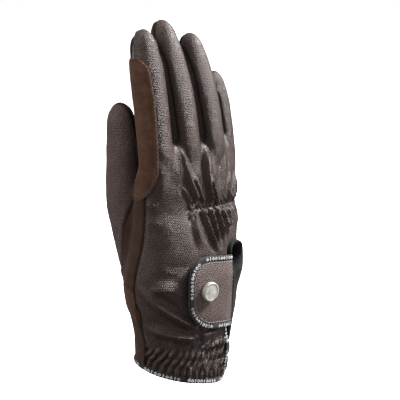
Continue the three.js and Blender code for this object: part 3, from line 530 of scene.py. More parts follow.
def hand_rings():
    angles = np.linspace(-90, 270, 160, endpoint=False)
    levels = np.linspace(-0.03 * HAND_LENGTH, HAND_LENGTH, 150)
    return hand_point(angles[None, :], levels[:, None])


def ring_faces(rows, count, start=0):
    """Faces of a stack of rings, whose points are numbered ring by ring from start, closed at both ends."""
    faces = []
    for j in range(rows - 1):
        for i in range(count):
            a = start + j * count + i
            b = start + j * count + (i + 1) % count
            faces.append((a, b, b + count, a + count))
    faces.append(tuple(range(start, start + count))[::-1])
    faces.append(tuple(range(start + (rows - 1) * count, start + rows * count)))
    return faces


def skin_rings(rings):
    """Vertices and faces of a stack of rings, closed at both ends."""
    return rings.reshape(-1, 3), ring_faces(*rings.shape[:2])


# Mesh work on plain arrays of points and triangles
def join_normals(points, faces):
    corner = points[faces]
    across = np.cross(corner[:, 1] - corner[:, 0], corner[:, 2] - corner[:, 0])
    total = np.zeros_like(points)
    for k in range(3):
        for axis in range(3):
            total[:, axis] += np.bincount(faces[:, k], across[:, axis], len(points))
    return unit(total)


def relax(points, faces, edges, rounds, fill, wear):
    """Draws each point to the middle of its neighbours, by fill where the form is hollow or else by wear."""
    count = len(points)
    neighbours = np.maximum(np.bincount(edges.ravel(), minlength=count), 1)
    for _ in range(rounds):
        total = np.stack([
            np.bincount(edges[:, 0], points[edges[:, 1], axis], count)
            + np.bincount(edges[:, 1], points[edges[:, 0], axis], count)
            for axis in range(3)
        ], -1)
        pull = total / neighbours[:, None] - points
        hollow = (pull * join_normals(points, faces)).sum(1) > 0
        points = points + pull * np.where(hollow, fill, wear)[:, None]
    return points


def glove_form():
    """The outer form as one even mesh: hand, fingers and thumb grown together, with soft hollows between."""
    stacks = [hand_rings()]
    for i in range(len(FINGER_NAMES)):
        stacks.append(digit_rings(
            lambda share, i=i: finger_axis(i, share), lambda share, i=i: finger_girth(i, share),
            FINGER_START, FINGERS["length"][i], FINGERS["tip"][i],
        ))
    stacks.append(digit_rings(thumb_axis, thumb_girth, 0.0, THUMB_LENGTH, THUMB_TIP))
    vertices, faces = [], []
    for rings in stacks:
        start = sum(len(v) for v in vertices)
        points, ring_faces = skin_rings(rings)
        vertices.append(points)
        faces += [tuple(start + k for k in face) for face in ring_faces]
    mesh = bpy.data.meshes.new("glove_form")
    mesh.from_pydata(np.concatenate(vertices).tolist(), [], faces)
    form = bpy.data.objects.new("glove_form", mesh)
    bpy.context.scene.collection.objects.link(form)
    select_only(form)
    bpy.ops.object.modifier_add(type="REMESH")
    form.modifiers[-1].mode = "VOXEL"
    form.modifiers[-1].voxel_size = GRID
    bpy.ops.object.modifier_apply(modifier=form.modifiers[-1].name)
    points = np.empty(len(form.data.vertices) * 3)
    form.data.vertices.foreach_get("co", points)
    points = points.reshape(-1, 3)
    edges = np.empty(len(form.data.edges) * 2, int)
    form.data.edges.foreach_get("vertices", edges)
    form.data.calc_loop_triangles()
    triangles = np.empty(len(form.data.loop_triangles) * 3, int)
    form.data.loop_triangles.foreach_get("vertices", triangles)
    triangles = triangles.reshape(-1, 3)
    bpy.data.objects.remove(form)
    rounds = int(SOFTENING / GRID**2)
    return relax(points, triangles, edges.reshape(-1, 2), rounds, 0.5, 0.1), triangles


def cut(points, faces, value):
    """Splits triangles where value is zero. Points close to that line are first drawn onto it."""
    f = value(points)
    edges = np.sort(np.concatenate([faces[:, [0, 1]], faces[:, [1, 2]], faces[:, [2, 0]]]), axis=1)
    edges = np.unique(edges, axis=0)
    a, b = edges.T
    crossing = f[a] * f[b] < 0
    a, b = a[crossing], b[crossing]
    share = f[a] / (f[a] - f[b])
    near = np.concatenate([np.stack([a, b], 1)[share < 0.3], np.stack([b, a], 1)[share > 0.7]])
    if len(near):
        moved, first = np.unique(near[:, 0], return_index=True)
        other = near[first, 1]
        step = f[moved] / (f[moved] - f[other])
        target = points[moved] + (points[other] - points[moved]) * step[:, None]
        points = points.copy()
        points[moved] = target
        f[moved] = 0
    side = np.sign(f)
    crossing = side[edges[:, 0]] * side[edges[:, 1]] < 0
    a, b = edges[crossing].T
    share = f[a] / (f[a] - f[b])
    added = points[a] + (points[b] - points[a]) * share[:, None]
    made = {(int(p), int(q)): len(points) + k for k, (p, q) in enumerate(zip(a, b))}
    points = np.concatenate([points, added])
    split = (side[faces].min(1) < 0) & (side[faces].max(1) > 0)
    new_faces = []
    for face in faces[split].tolist():
        loop = []
        for k in range(3):
            p, q = face[k], face[(k + 1) % 3]
            loop.append((p, side[p]))
            between = made.get((min(p, q), max(p, q)))
            if between is not None:
                loop.append((between, 0))
        for sign in (-1, 1):
            part = [p for p, s in loop if s != -sign]
            new_faces += [(part[0], part[k], part[k + 1]) for k in range(1, len(part) - 1)]
    if new_faces:
        faces = np.concatenate([faces[~split], np.array(new_faces)])
    return points, faces


def finer(points, faces):
    """Each triangle becomes four."""
    edges = np.sort(np.concatenate([faces[:, [0, 1]], faces[:, [1, 2]], faces[:, [2, 0]]]), axis=1)
    unique, place = np.unique(edges, axis=0, return_inverse=True)
    place = place.reshape(3, -1).T + len(points)
    middles = points[unique].mean(1)
    a, b, c = faces.T
    ab, bc, ca = place.T
    quarters = [np.stack(t, 1) for t in ((a, ab, ca), (ab, b, bc), (ca, bc, c), (ab, bc, ca))]
    return np.concatenate([points, middles]), np.concatenate(quarters)


def outline_distance(a, b, outline):
    """Distance to a closed outline, negative inside it."""
    corners = np.asarray(outline, float)
    nearest = np.full(len(a), np.inf)
    inside = np.zeros(len(a), bool)
    for (x0, y0), (x1, y1) in zip(corners, np.roll(corners, -1, axis=0)):
        ex, ey = x1 - x0, y1 - y0
        if ex == 0 and ey == 0:
            continue
        t = np.clip(((a - x0) * ex + (b - y0) * ey) / (ex * ex + ey * ey), 0, 1)
        nearest = np.minimum(nearest, np.hypot(a - x0 - t * ex, b - y0 - t * ey))
        if ey:
            inside ^= ((y0 > b) != (y1 > b)) & (a < x0 + ex * (b - y0) / ey)
    return np.where(inside, -nearest, nearest)


# Seam lines, as values that are zero on the line
def strip_width(i, z):
    length = FINGERS["length"][i]
    top = FINGER_ROOT + length - STRIP_TIP
    taper = ease(z, 0.86 * HAND_LENGTH, 0.95 * HAND_LENGTH) - ease(z, top - 0.25 * length, top)
    return np.clip(SIDE_STRIP_WIDTH * taper, 0, None)


def seam_depth(i, z):
    side = HAND_DEPTH * read(SIDE_SEAM, "palm", z / HAND_LENGTH)
    share = ease(z, 0.74 * HAND_LENGTH, 0.93 * HAND_LENGTH)
    return mix(side, finger_axis(i, finger_share(i, z))[:, 1], share)


def palm_side(points, shift):
    """Distance to the palm's side of a seam: the strips' back edge (shift -1) or palm edge (shift 1)."""
    x, y, z = points.T
    centres = [finger_axis(i, finger_share(i, z))[:, 0] for i in range(4)]
    depths = [seam_depth(i, z) + shift * strip_width(i, z) / 2 for i in range(4)]
    line = seam_depth(0, z)
    for i in range(3):
        share = np.clip((x - centres[i]) / (centres[i + 1] - centres[i]), 0, 1)
        line = np.where(x > centres[i], mix(depths[i], depths[i + 1], share), line)
    line = np.where(x > centres[3], seam_depth(3, z), line)
    return y - line


thumb_turn = math.radians(THUMB_BACK_AZIMUTH)
THUMB_OUT = np.array([math.sin(thumb_turn), -math.cos(thumb_turn), 0.0])
THUMB_RIGHT = np.array([math.cos(thumb_turn), math.sin(thumb_turn), 0.0])


def thumb_share(z):
    return np.clip((z - THUMB_ROOT) / THUMB_LENGTH, 0, 1)


def thumb_side(points):
    """How far out of the thumb's side seam, to the back of the thumb."""
    centre = thumb_axis(thumb_share(points[:, 2]))
    return (points - centre) @ THUMB_OUT - THUMB_SEAM_OUT


def tongue_outline():
    right = [(up, THUMB_WIDTH * r) for up, r in zip(TONGUE_RIGHT["up"], TONGUE_RIGHT["right"])]
    left = [(up, THUMB_WIDTH * r) for up, r in zip(TONGUE_LEFT["up"], TONGUE_LEFT["right"])]
    points = []
    for up, r in right + left:
        centre = thumb_axis(np.clip(np.array([up]), 0, 1))[0] @ THUMB_RIGHT
        points.append((centre + r, THUMB_ROOT + THUMB_LENGTH * up))
    return points


def tongue_edge(points):
    return outline_distance(points @ THUMB_RIGHT, points[:, 2], tongue_outline())


def thumb_away(points):
    """Distance outside the thumb's tube."""
    share = thumb_share(points[:, 2])
    return np.linalg.norm((points - thumb_axis(share))[:, :2], axis=1) - thumb_girth(share)


def arc_points(centre_x, centre_z, radius, start, end, steps=14):
    turns = np.radians(np.linspace(start, end, steps))
    return [(centre_x + radius * math.cos(t), centre_z + radius * math.sin(t)) for t in turns]


def curve_points(start, bend, end):
    """A quadratic curve between two points, without its first point."""
    shares = np.linspace(0, 1, 10)[1:]
    start, bend, end = (np.array(p, float) for p in (start, bend, end))
    return [tuple((1 - t) ** 2 * start + 2 * t * (1 - t) * bend + t**2 * end) for t in shares]


def slit_outline():
    half = SLIT_HOLE_WIDTH / 2
    top = SLIT_LENGTH
    middle = SLIT_X + SLIT_HOLE_SHIFT
    low = SLIT_LENGTH - SLIT_HOLE_LENGTH
    side = SLIT_GAP
    bend = low + SLIT_HOLE_LENGTH / 4
    return [
        (SLIT_X - side, -FAR),
        (SLIT_X + side, -FAR),
        (SLIT_X + side, low),
        *curve_points((SLIT_X + side, low), (middle + half, bend), (middle + half, top - half)),
        *arc_points(middle, top - half, half, 0, 180)[1:],
        *curve_points((middle - half, top - half), (middle - half, bend), (SLIT_X - side, low)),
    ]


LEG_TOP = TAB_BOTTOM + TAB_HEIGHT / 4


def facing_outline(grow=0.0):
    hole = SLIT_HOLE_WIDTH / 2 + BINDING_WIDTH + grow
    middle = SLIT_X + SLIT_HOLE_SHIFT
    top = SLIT_LENGTH + BINDING_WIDTH + grow
    leg = SLIT_X - BINDING_WIDTH - grow
    return [
        (SLIT_X, FACING_FOOT - grow),
        (SLIT_X + BINDING_WIDTH + grow, FACING_FOOT - grow),
        (SLIT_X + FACING_WIDTH + grow, FACING_FOOT + 5 * BINDING_WIDTH),
        (middle + hole, SLIT_LENGTH - SLIT_HOLE_LENGTH),
        *arc_points(middle, top - hole, hole, 0, 180),
        (leg, SLIT_LENGTH - SLIT_HOLE_LENGTH),
        (leg, LEG_TOP - grow),
        (SLIT_X, LEG_TOP - grow),
    ]


def tab_outline(inset=0.0):
    left = SLIT_X - TAB_LENGTH + inset
    right = SLIT_X - SLIT_GAP
    low = TAB_BOTTOM + inset
    high = TAB_BOTTOM + TAB_HEIGHT - inset
    corner = TAB_CORNER - inset
    points = [
        (right, high),
        *arc_points(left + corner, high - corner, corner, 90, 180),
        *arc_points(left + corner, low + corner, corner, 180, 270),
        (right, low),
    ]
    return [(x, z + TAB_SLOPE * (SLIT_X - x)) for x, z in points]


def patch_edge_x(z, right):
    return finger_axis(0, np.array([finger_share(0, z)]))[0, 0] + FINGERS["width"][0] * right


def patch_outline():
    points = [(-FAR, mix(PATCH_BOTTOM, PATCH_TOP, PATCH_EDGE["up"][0]))]
    for up, right in zip(PATCH_EDGE["up"], PATCH_EDGE["right"]):
        z = mix(PATCH_BOTTOM, PATCH_TOP, up)
        points.append((patch_edge_x(z, right), z))
    points.append((-FAR, PATCH_TOP))
    return points


def heel_outline():
    return [
        (HEEL_START, HEEL_LOW),
        (HEEL_START + 17, HEEL_LOW + 18),
        (FAR, HEEL_LOW + 21),
        (FAR, HEEL_HIGH + 14),
        (HEEL_START + 25, HEEL_HIGH + 12),
        (HEEL_START, HEEL_HIGH),
    ]


def facing_edge(points, grow=0.0):
    flat = outline_distance(points[:, 0], points[:, 2], facing_outline(grow))
    return np.maximum(flat, points[:, 1])


def slit_edge(points):
    flat = outline_distance(points[:, 0], points[:, 2], slit_outline())
    return np.maximum(flat, points[:, 1])


def cuff_edge(level, arc):
    """Distance from the raw edge of the leather at the hem and the slit, with the slit's rounded corners."""
    slit = arc_of_slit(level)
    beside = (arc - slit + HEM_ROUND / 2) % HEM_ROUND - HEM_ROUND / 2
    open_to = np.where(beside < 0, LEG_TOP, FACING_FOOT)
    side = np.where(level < open_to, np.abs(beside) - SLIT_GAP, FAR)
    reach = [CUFF_CORNER - np.minimum(value, CUFF_CORNER) for value in (side, level)]
    corner = CUFF_CORNER - np.hypot(*reach)
    inner = np.minimum(side, level)
    return np.where((side < CUFF_CORNER) & (level < CUFF_CORNER), corner, inner)


# Relief: pleats, puffs, folds and sunk seams, as a height over the smooth form
def chance_of(number, row):
    """A share from 0 to 1 for each puff, the same on every run."""
    chance = np.sin(number * 12.9898 + row * 78.233) * 43758.5453
    return chance - np.floor(chance)


def puffs(level, arc):
    """Leaf-shaped puffs of the gathered cuff, in staggered rows. The band grows towards the slit."""
    left = arc_at(level, np.full(len(level), PUFF_EDGE))
    share = np.clip((arc - left) / (arc_of_slit(level) - left), 0, 1)
    top = mix(*PUFF_TOPS, share)
    half_width, half_length = PUFF_LEAF
    total = np.zeros(len(level))
    for row in range(PUFF_ROWS):
        middle = PUFF_START + row * PUFF_RISE
        beside = arc / PUFF_PITCH + 0.5 * (row % 2)
        number = np.rint(beside)
        chance = chance_of(number, row)
        beside = (beside - number) * PUFF_PITCH + 0.8 * (chance - 0.5)
        rise = level - middle - 1.6 * (chance - 0.5)
        turn = math.radians(PUFF_LEAN) * (0.3 if row == 0 else 1.0) + 0.25 * (chance - 0.5)
        along = beside * np.sin(turn) + rise * np.cos(turn)
        across = beside * np.cos(turn) - rise * np.sin(turn)
        leaf = np.clip(1 - (across / half_width) ** 2 - (along / half_length) ** 2, 0, None) ** 0.7
        total = np.maximum(total, leaf * (0.7 + 0.5 * chance) * ease(top - middle, -3, 1))
    band = ease(level, 2.5, 5) * (1 - ease(level, top, top + 4))
    return PUFF_HEIGHT * (total - 0.35) * band


def gathers(level, arc):
    """The row of puckers that the elastic draws together."""
    rise = level - ELASTIC_LEVEL
    start = arc_at(level, np.full(len(level), GATHER_START))
    end = arc_at(level, np.full(len(level), GATHER_END))
    gathered = ease(arc, start, start + 6) * (1 - ease(arc, end - 4, end))
    zigzag = np.sin(2 * math.pi * (arc / GATHER_PITCH + 0.22 * rise))
    zigzag += 0.5 * np.sin(2 * math.pi * (arc / CROSS_PITCH - 0.1 * rise))
    pucker = GATHER_HEIGHT * zigzag * hump(rise, GATHER_REACH)
    return gathered * (pucker - ELASTIC_SINK * hump(rise, ELASTIC_REACH))


def nearest_on_curve(a, l, arcs, levels, shares):
    """Distance of places from a curve, and how far along it the nearest point is."""
    least = np.full(len(a), FAR)
    along = np.zeros(len(a))
    for k in range(len(shares) - 1):
        da, dl = arcs[k + 1] - arcs[k], levels[k + 1] - levels[k]
        t = np.clip(((a - arcs[k]) * da + (l - levels[k]) * dl) / (da * da + dl * dl), 0, 1)
        away = np.hypot(a - arcs[k] - t * da, l - levels[k] - t * dl)
        along = np.where(away < least, shares[k] + t * (shares[k + 1] - shares[k]), along)
        least = np.minimum(least, away)
    return least, along


def folds(level, arc):
    """Every fold and pleat: a ridge along a curve with a shallow valley to each side, or a valley alone."""
    ridges = np.zeros(len(level))
    valleys = np.zeros(len(level))
    shares = np.linspace(0, 1, 9)
    weights = ((1 - shares) * (1 - 2 * shares), 4 * shares * (1 - shares), shares * (2 * shares - 1))
    for row in zip(*FOLDS.values()):
        angles, levels = (sum(w * at for w, at in zip(weights, row[k:6:2])) for k in (0, 1))
        arcs = arc_at(levels, angles)
        reach, height, hold = row[6:]
        margin = 5 * reach
        near = (level > levels.min() - margin) & (level < levels.max() + margin)
        near &= (arc > arcs.min() - margin) & (arc < arcs.max() + margin)
        least, along = nearest_on_curve(arc[near], level[near], arcs, levels, shares)
        fade = ease(along, 0, 0.4) * (1 - ease(along, hold, 1.02))
        ridge = abs(height) * fade * np.clip(1 - least / (FOLD_FLANK * reach), 0, 1) ** FOLD_SHARPNESS
        if height > 0:
            beside = VALLEY_SHARE * height * fade * hump(least - VALLEY_PLACE * reach, reach)
            ridges[near] = np.maximum(ridges[near], ridge)
            valleys[near] = np.maximum(valleys[near], beside)
        else:
            valleys[near] = np.maximum(valleys[near], ridge)
    return ridges - valleys * (1 - np.clip(ridges, 0, 1))


def soft_waves(points, size, seed):
    """Gentle unevenness, the same on every run."""
    shift = Vector((seed * 7.3, seed * 3.1, seed * 5.7))
    return np.array([noise.noise(Vector(p) / size + shift) for p in points.tolist()])


def digit_places(points, digits, level, arc):
    """Where each point lies on its own part, flat in millimetres: round it and up it."""
    around, up = arc.copy(), level.copy()
    z = points[:, 2]
    for i in range(len(FINGER_NAMES)):
        part = digits == i
        share = finger_share(i, z[part])
        from_axis = points[part] - finger_axis(i, share)
        turn = np.arctan2(from_axis[:, 0], -from_axis[:, 1])
        around[part] = finger_axis(i, share)[:, 0] + finger_girth(i, share) * turn
        up[part] = z[part]
    part = digits == 4
    from_axis = points[part] - thumb_axis(thumb_share(z[part]))
    turn = np.arctan2(from_axis @ THUMB_RIGHT, from_axis @ THUMB_OUT)
    around[part] = thumb_girth(thumb_share(z[part])) * turn
    up[part] = z[part]
    return np.stack([around, up], -1)


def nearest_digit(points, away):
    """-1 for the hand, 0 to 3 for the fingers and 4 for the thumb: whichever surface is nearest."""
    z = points[:, 2]
    distance = [np.where(z < HAND_LENGTH + 3, np.abs(away), FAR)]
    for i in range(len(FINGER_NAMES)):
        share = finger_share(i, z)
        gap = np.linalg.norm((points - finger_axis(i, share))[:, :2], axis=1) - finger_girth(i, share)
        distance.append(np.where(z > FINGER_ROOT, np.abs(gap), FAR))
    distance.append(np.where(z > THUMB_ROOT, np.abs(thumb_away(points)), FAR))
    return np.argmin(np.stack(distance), axis=0) - 1


def tongue_zone(points):
    return np.maximum.reduce([tongue_edge(points), -thumb_side(points), -palm_side(points, 1)])


def thumb_front_zone(points):
    return np.maximum.reduce([thumb_away(points) - 1.5, thumb_side(points), THUMB_PARTING - points[:, 2]])


def fingertip_zone(points):
    middle = (finger_axis(0, np.array([1.0]))[0, 0] + finger_axis(1, np.array([1.0]))[0, 0]) / 2
    return np.maximum.reduce([TIP_PATCH_BOTTOM - points[:, 2], points[:, 0] - middle, -palm_side(points, 1)])


def patch_zone(points):
    z = points[:, 2]
    flat = outline_distance(points[:, 0], z, patch_outline())
    front = points[:, 1] - finger_axis(0, finger_share(0, z))[:, 1] - PATCH_FRONT
    clear = np.where(z < THUMB_ROOT + THUMB_LENGTH, LAYER_GAP + SUEDE_PATCH + 0.3 - thumb_away(points), -FAR)
    return np.maximum.reduce([flat, front, clear])


def heel_zone(points):
    flat = outline_distance(points[:, 1], points[:, 2], heel_outline())
    return np.maximum.reduce([flat, points[:, 0] - 5, -tongue_edge(points) * (thumb_side(points) > -1)])


def seam_gap(points, digits):
    """Distance to the nearest sewn seam."""
    hand = np.where(digits == 4, FAR, 0)
    strips = np.where(points[:, 2] > HAND_LENGTH - STRIP_BELOW_WEB, 0, FAR)
    distances = [
        np.abs(palm_side(points, -1)) + hand,
        np.abs(palm_side(points, 1)) + hand + strips,
        np.abs(tongue_zone(points)),
        np.abs(thumb_front_zone(points)),
        np.abs(fingertip_zone(points)),
    ]
    return np.minimum.reduce(distances)


def slit_curl(level, arc):
    """The flap's edge beside the slit turns away from the wrist, below the tab."""
    beside = arc_of_slit(level) - arc
    near = np.clip(1 - beside / SLIT_CURL_REACH, 0, 1) * (beside > -0.5 * SLIT_CURL_REACH)
    return SLIT_CURL * near**1.5 * (1 - ease(level, TAB_BOTTOM - 8, TAB_BOTTOM + 2)) * ease(level, -4, 6)


def relief(points, seams=True):
    """Height of the leather over the smooth form."""
    level, angle, away = hand_place(points)
    arc = arc_at(level, angle)
    digits = nearest_digit(points, away)
    knuckles = HAND_LENGTH + KNUCKLE_END
    back = (digits != 4) & (np.abs(angle) < BACK_END) & (points[:, 2] < knuckles)
    fade = 1 - ease(np.abs(angle), BACK_FADE, BACK_END)
    fade *= 1 - ease(points[:, 2], HAND_LENGTH - KNUCKLE_FADE, knuckles)
    tab_gap = np.where(points[:, 1] < 0, outline_distance(points[:, 0], points[:, 2], tab_outline()), FAR)
    under_tab = mix(UNDER_TAB, 1, ease(tab_gap, -2, 3))
    beside_facing = mix(BESIDE_FACING, 1, ease(facing_edge(points), 0, 3))
    total = np.zeros(len(points))
    places = level[back], arc[back]
    there = FOLD_STRENGTH * folds(*places) + gathers(*places) + puffs(*places)
    total[back] = there * (fade * under_tab * beside_facing)[back] + slit_curl(*places)
    total += LONG_WAVES * soft_waves(points, 17.0, 1) + SHORT_WAVES * soft_waves(points, 7.0, 2)
    if seams:
        seam = seam_gap(points, digits)
        total += SEAM_LIP * hump(seam - 2.6, 1.4) - SEAM_SINK * hump(seam, SEAM_REACH)
    return total


# Making pieces
def select_none():
    bpy.ops.object.select_all(action="DESELECT")


def select_only(made):
    select_none()
    made.select_set(True)
    bpy.context.view_layer.objects.active = made


def make_mesh(name, points, faces, uv=None, painted_shades=None):
    """An object from points in millimetres. uv holds a place for each point; the other array holds, for each
    point, a share of painted shade in the sunk seams, kept as the point attribute named seam.
    """
    mesh = bpy.data.meshes.new(name)
    mesh.from_pydata((np.asarray(points) * METRES).tolist(), [], [tuple(f) for f in faces])
    if uv is not None:
        corners = np.empty(len(mesh.loops), int)
        mesh.loops.foreach_get("vertex_index", corners)
        layer = mesh.uv_layers.new(name="grain")
        layer.data.foreach_set("uv", (uv[corners]).astype(np.float32).ravel())
    if painted_shades is not None:
        # The seam attribute is painted shade: it darkens the colour where the seams sink into grooves.
        attribute = mesh.attributes.new("seam", "FLOAT", "POINT")
        attribute.data.foreach_set("value", painted_shades.astype(np.float32))
    made = bpy.data.objects.new(name, mesh)
    bpy.context.scene.collection.objects.link(made)
    return made


def finish_piece(made, slot, materials, *nodes, angle=50):
    """Smooth shading, its material, and the solid it stands for."""
    for material in materials:
        made.data.materials.append(material)
    select_only(made)
    bpy.ops.object.shade_smooth_by_angle(angle=math.radians(angle))
    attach(made, "root")
    if nodes:
        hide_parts(*nodes)
    return made


def shell(name, points, normals, faces, outer, inner, uv=None, painted_shades=None, lined=False):
    """A wall over part of a surface, from one height over it to another, closed round its edge."""
    used, corner = np.unique(faces, return_inverse=True)
    triangles = corner.reshape(-1, 3)
    count = len(used)
    top = points[used] + normals[used] * outer[used][:, None]
    bottom = points[used] + normals[used] * inner[used][:, None]
    directed = np.concatenate([triangles[:, [0, 1]], triangles[:, [1, 2]], triangles[:, [2, 0]]])
    keys = directed[:, 0] * count + directed[:, 1]
    twins = directed[:, 1] * count + directed[:, 0]
    edge = directed[~np.isin(keys, twins)]
    rim = [(b, a, a + count, b + count) for a, b in edge.tolist()]
    faces_all = triangles.tolist() + (triangles[:, ::-1] + count).tolist() + rim
    uv_all = None if uv is None else np.concatenate([uv[used], uv[used]])
    painted_shades_all = None if painted_shades is None else np.concatenate([painted_shades[used], painted_shades[used]])
    made = make_mesh(name, np.concatenate([top, bottom]), faces_all, uv_all, painted_shades_all)
    if lined:
        sides = np.zeros(len(faces_all), np.int32)
        sides[len(triangles) : 2 * len(triangles)] = 1
        made.data.polygons.foreach_set("material_index", sides)
    return made


def rounded(depth, radius):
    """Height of a rounded edge, from 0 at the edge to 1 at a radius inside it."""
    inside = np.clip(depth / radius, 0, 1)
    return np.sqrt(1 - (1 - inside) ** 2)


def sweep(name, path, normals, profile, middle):
    """A band carried along a path. profile has places across and out, and middle numbers its outer middle."""
    tangent = unit(np.gradient(path, axis=0))
    normals = unit(normals - tangent * (normals * tangent).sum(1)[:, None])
    side = np.cross(tangent, normals)
    rings = path[:, None] + side[:, None] * profile[None, :, :1] + normals[:, None] * profile[None, :, 1:]
    rows, count = rings.shape[:2]
    run = lengths_along(path)
    loop = np.concatenate([profile, profile[:1]])
    girth = lengths_along(loop)
    girth = girth - girth[middle]
    uvs = []
    for low, high in zip(run, run[1:]):
        for near, far in zip(girth, girth[1:]):
            uvs += [(low, near), (low, far), (high, far), (high, near)]
    uvs += [PLAIN_END] * (2 * count)
    made = make_mesh(name, rings.reshape(-1, 3), ring_faces(rows, count))
    layer = made.data.uv_layers.new(name="grain")
    layer.data.foreach_set("uv", np.array(uvs, np.float32).ravel())
    outward = rings.mean(axis=1)
    first = made.data.polygons[0]
    if np.dot(np.array(first.normal), np.array(first.center) / METRES - outward[0]) < 0:
        made.data.flip_normals()
    return made


def band_profile(width, thick, corner):
    """A flat band's section with rounded edges, and the number of the point on its outer middle."""
    half, out = width / 2 - corner, thick / 2 - corner
    points = []
    corners = ((half, out, 0), (-half, out, 90), (-half, -out, 180), (half, -out, 270))
    for centre_across, centre_out, start in corners:
        for step in range(ROUND_STEPS + 1):
            turn = math.radians(start + 90 * step / ROUND_STEPS)
            points.append((centre_across + corner * math.cos(turn), centre_out + corner * math.sin(turn)))
        if start == 0:
            points.append((0.0, out + corner))
    return np.array(points), ROUND_STEPS + 1


def even_path(points, pitch):
    """Points spaced evenly along a path."""
    run = lengths_along(points)
    places = np.arange(pitch / 2, run[-1], pitch)
    return np.stack([np.interp(places, run, points[:, k]) for k in range(3)], -1)


def stitches(name, path, normals_at, pitch):
    """A row of thread stitches, each a small arched bead that dips into the leather at both ends."""
    spots = even_path(path, pitch)
    ahead = unit(np.gradient(spots, axis=0))
    out = normals_at(spots)
    side = np.cross(ahead, out)
    shares = np.array([-1, -0.8, -0.35, 0.35, 0.8, 1])
    girth = np.array([0.1, 0.7, 1, 1, 0.7, 0.1]) * STITCH_WIDTH / 2
    lift = 0.55 * STITCH_WIDTH * (1 - shares**2) - STITCH_DIP
    turns = np.linspace(0, 2 * math.pi, 6, endpoint=False)
    points, faces = [], []
    for spot, a, o, s in zip(spots, ahead, out, side):
        faces += ring_faces(len(shares), len(turns), len(points) * len(turns))
        for share, radius, rise in zip(shares, girth, lift):
            centre = spot + a * share * STITCH_LENGTH / 2 + o * rise
            points.append(centre + radius * (np.cos(turns)[:, None] * s + np.sin(turns)[:, None] * o))
    made = make_mesh(name, np.concatenate(points), faces)
    select_only(made)
    bpy.ops.object.mode_set(mode="EDIT")
    bpy.ops.mesh.select_all(action="SELECT")
    bpy.ops.mesh.normals_make_consistent(inside=False)
    bpy.ops.object.mode_set(mode="OBJECT")
    return made


# Places on the back of the wrist
def back_place(x, z, offset):
    """Degrees round the hand and level of what shows at x and z on the back."""
    x, z = np.asarray(x, float), np.asarray(z, float)
    level, aim = z.copy(), x.copy()
    for _ in range(20):
        section = hand_section(level)
        share = np.clip((aim - section["across"]) / section["half"], -0.995, 0.995)
        angle = np.degrees(np.arcsin(signed_power(share, ROUNDNESS / 2)))
        point = hand_point(angle, level, offset)
        level = level + (z - point[:, 2])
        aim = aim + (x - point[:, 0])
    return angle, level


def back_path(outline, offset):
    """An outline of x and z laid on the back of the hand, evenly spaced, with the directions out of it."""
    flat = np.array(outline, float)
    run = lengths_along(flat)
    places = np.linspace(0, run[-1], int(run[-1] / PATH_STEP) + 1)
    x, z = (np.interp(places, run, flat[:, k]) for k in range(2))
    angle, level = back_place(x, z, offset)
    return hand_point(angle, level, offset), hand_normal(angle, level)


def back_sheet(arc_span, level_span, step):
    """An even sheet over the back of the wrist, without its folds."""
    arcs = np.arange(*arc_span, step)
    levels = np.arange(*level_span, step)
    level, arc = np.meshgrid(levels, arcs, indexing="ij")
    points = hand_point(angle_at(level, arc), level).reshape(-1, 3)
    columns = len(arcs)
    a = (np.arange(len(levels) - 1)[:, None] * columns + np.arange(columns - 1)[None, :]).ravel()
    faces = np.concatenate([
        np.stack([a, a + 1, a + 1 + columns], 1),
        np.stack([a, a + 1 + columns, a + columns], 1),
    ])
    return points, faces


def sheet_piece(name, sheet, zone, outer, inner):
    """A wall on the back of the wrist, cut to a zone. outer and inner give heights from points and depth."""
    points, faces = cut(*sheet, zone)
    level, angle, _ = hand_place(points)
    middles = points[faces].mean(1)
    faces = faces[zone(middles) < 0]
    depth = -zone(points)
    normals = hand_normal(angle, level)
    uv = np.stack([arc_at(level, angle), level], -1)
    return shell(name, points, normals, faces, outer(points, depth), inner(points, depth), uv)


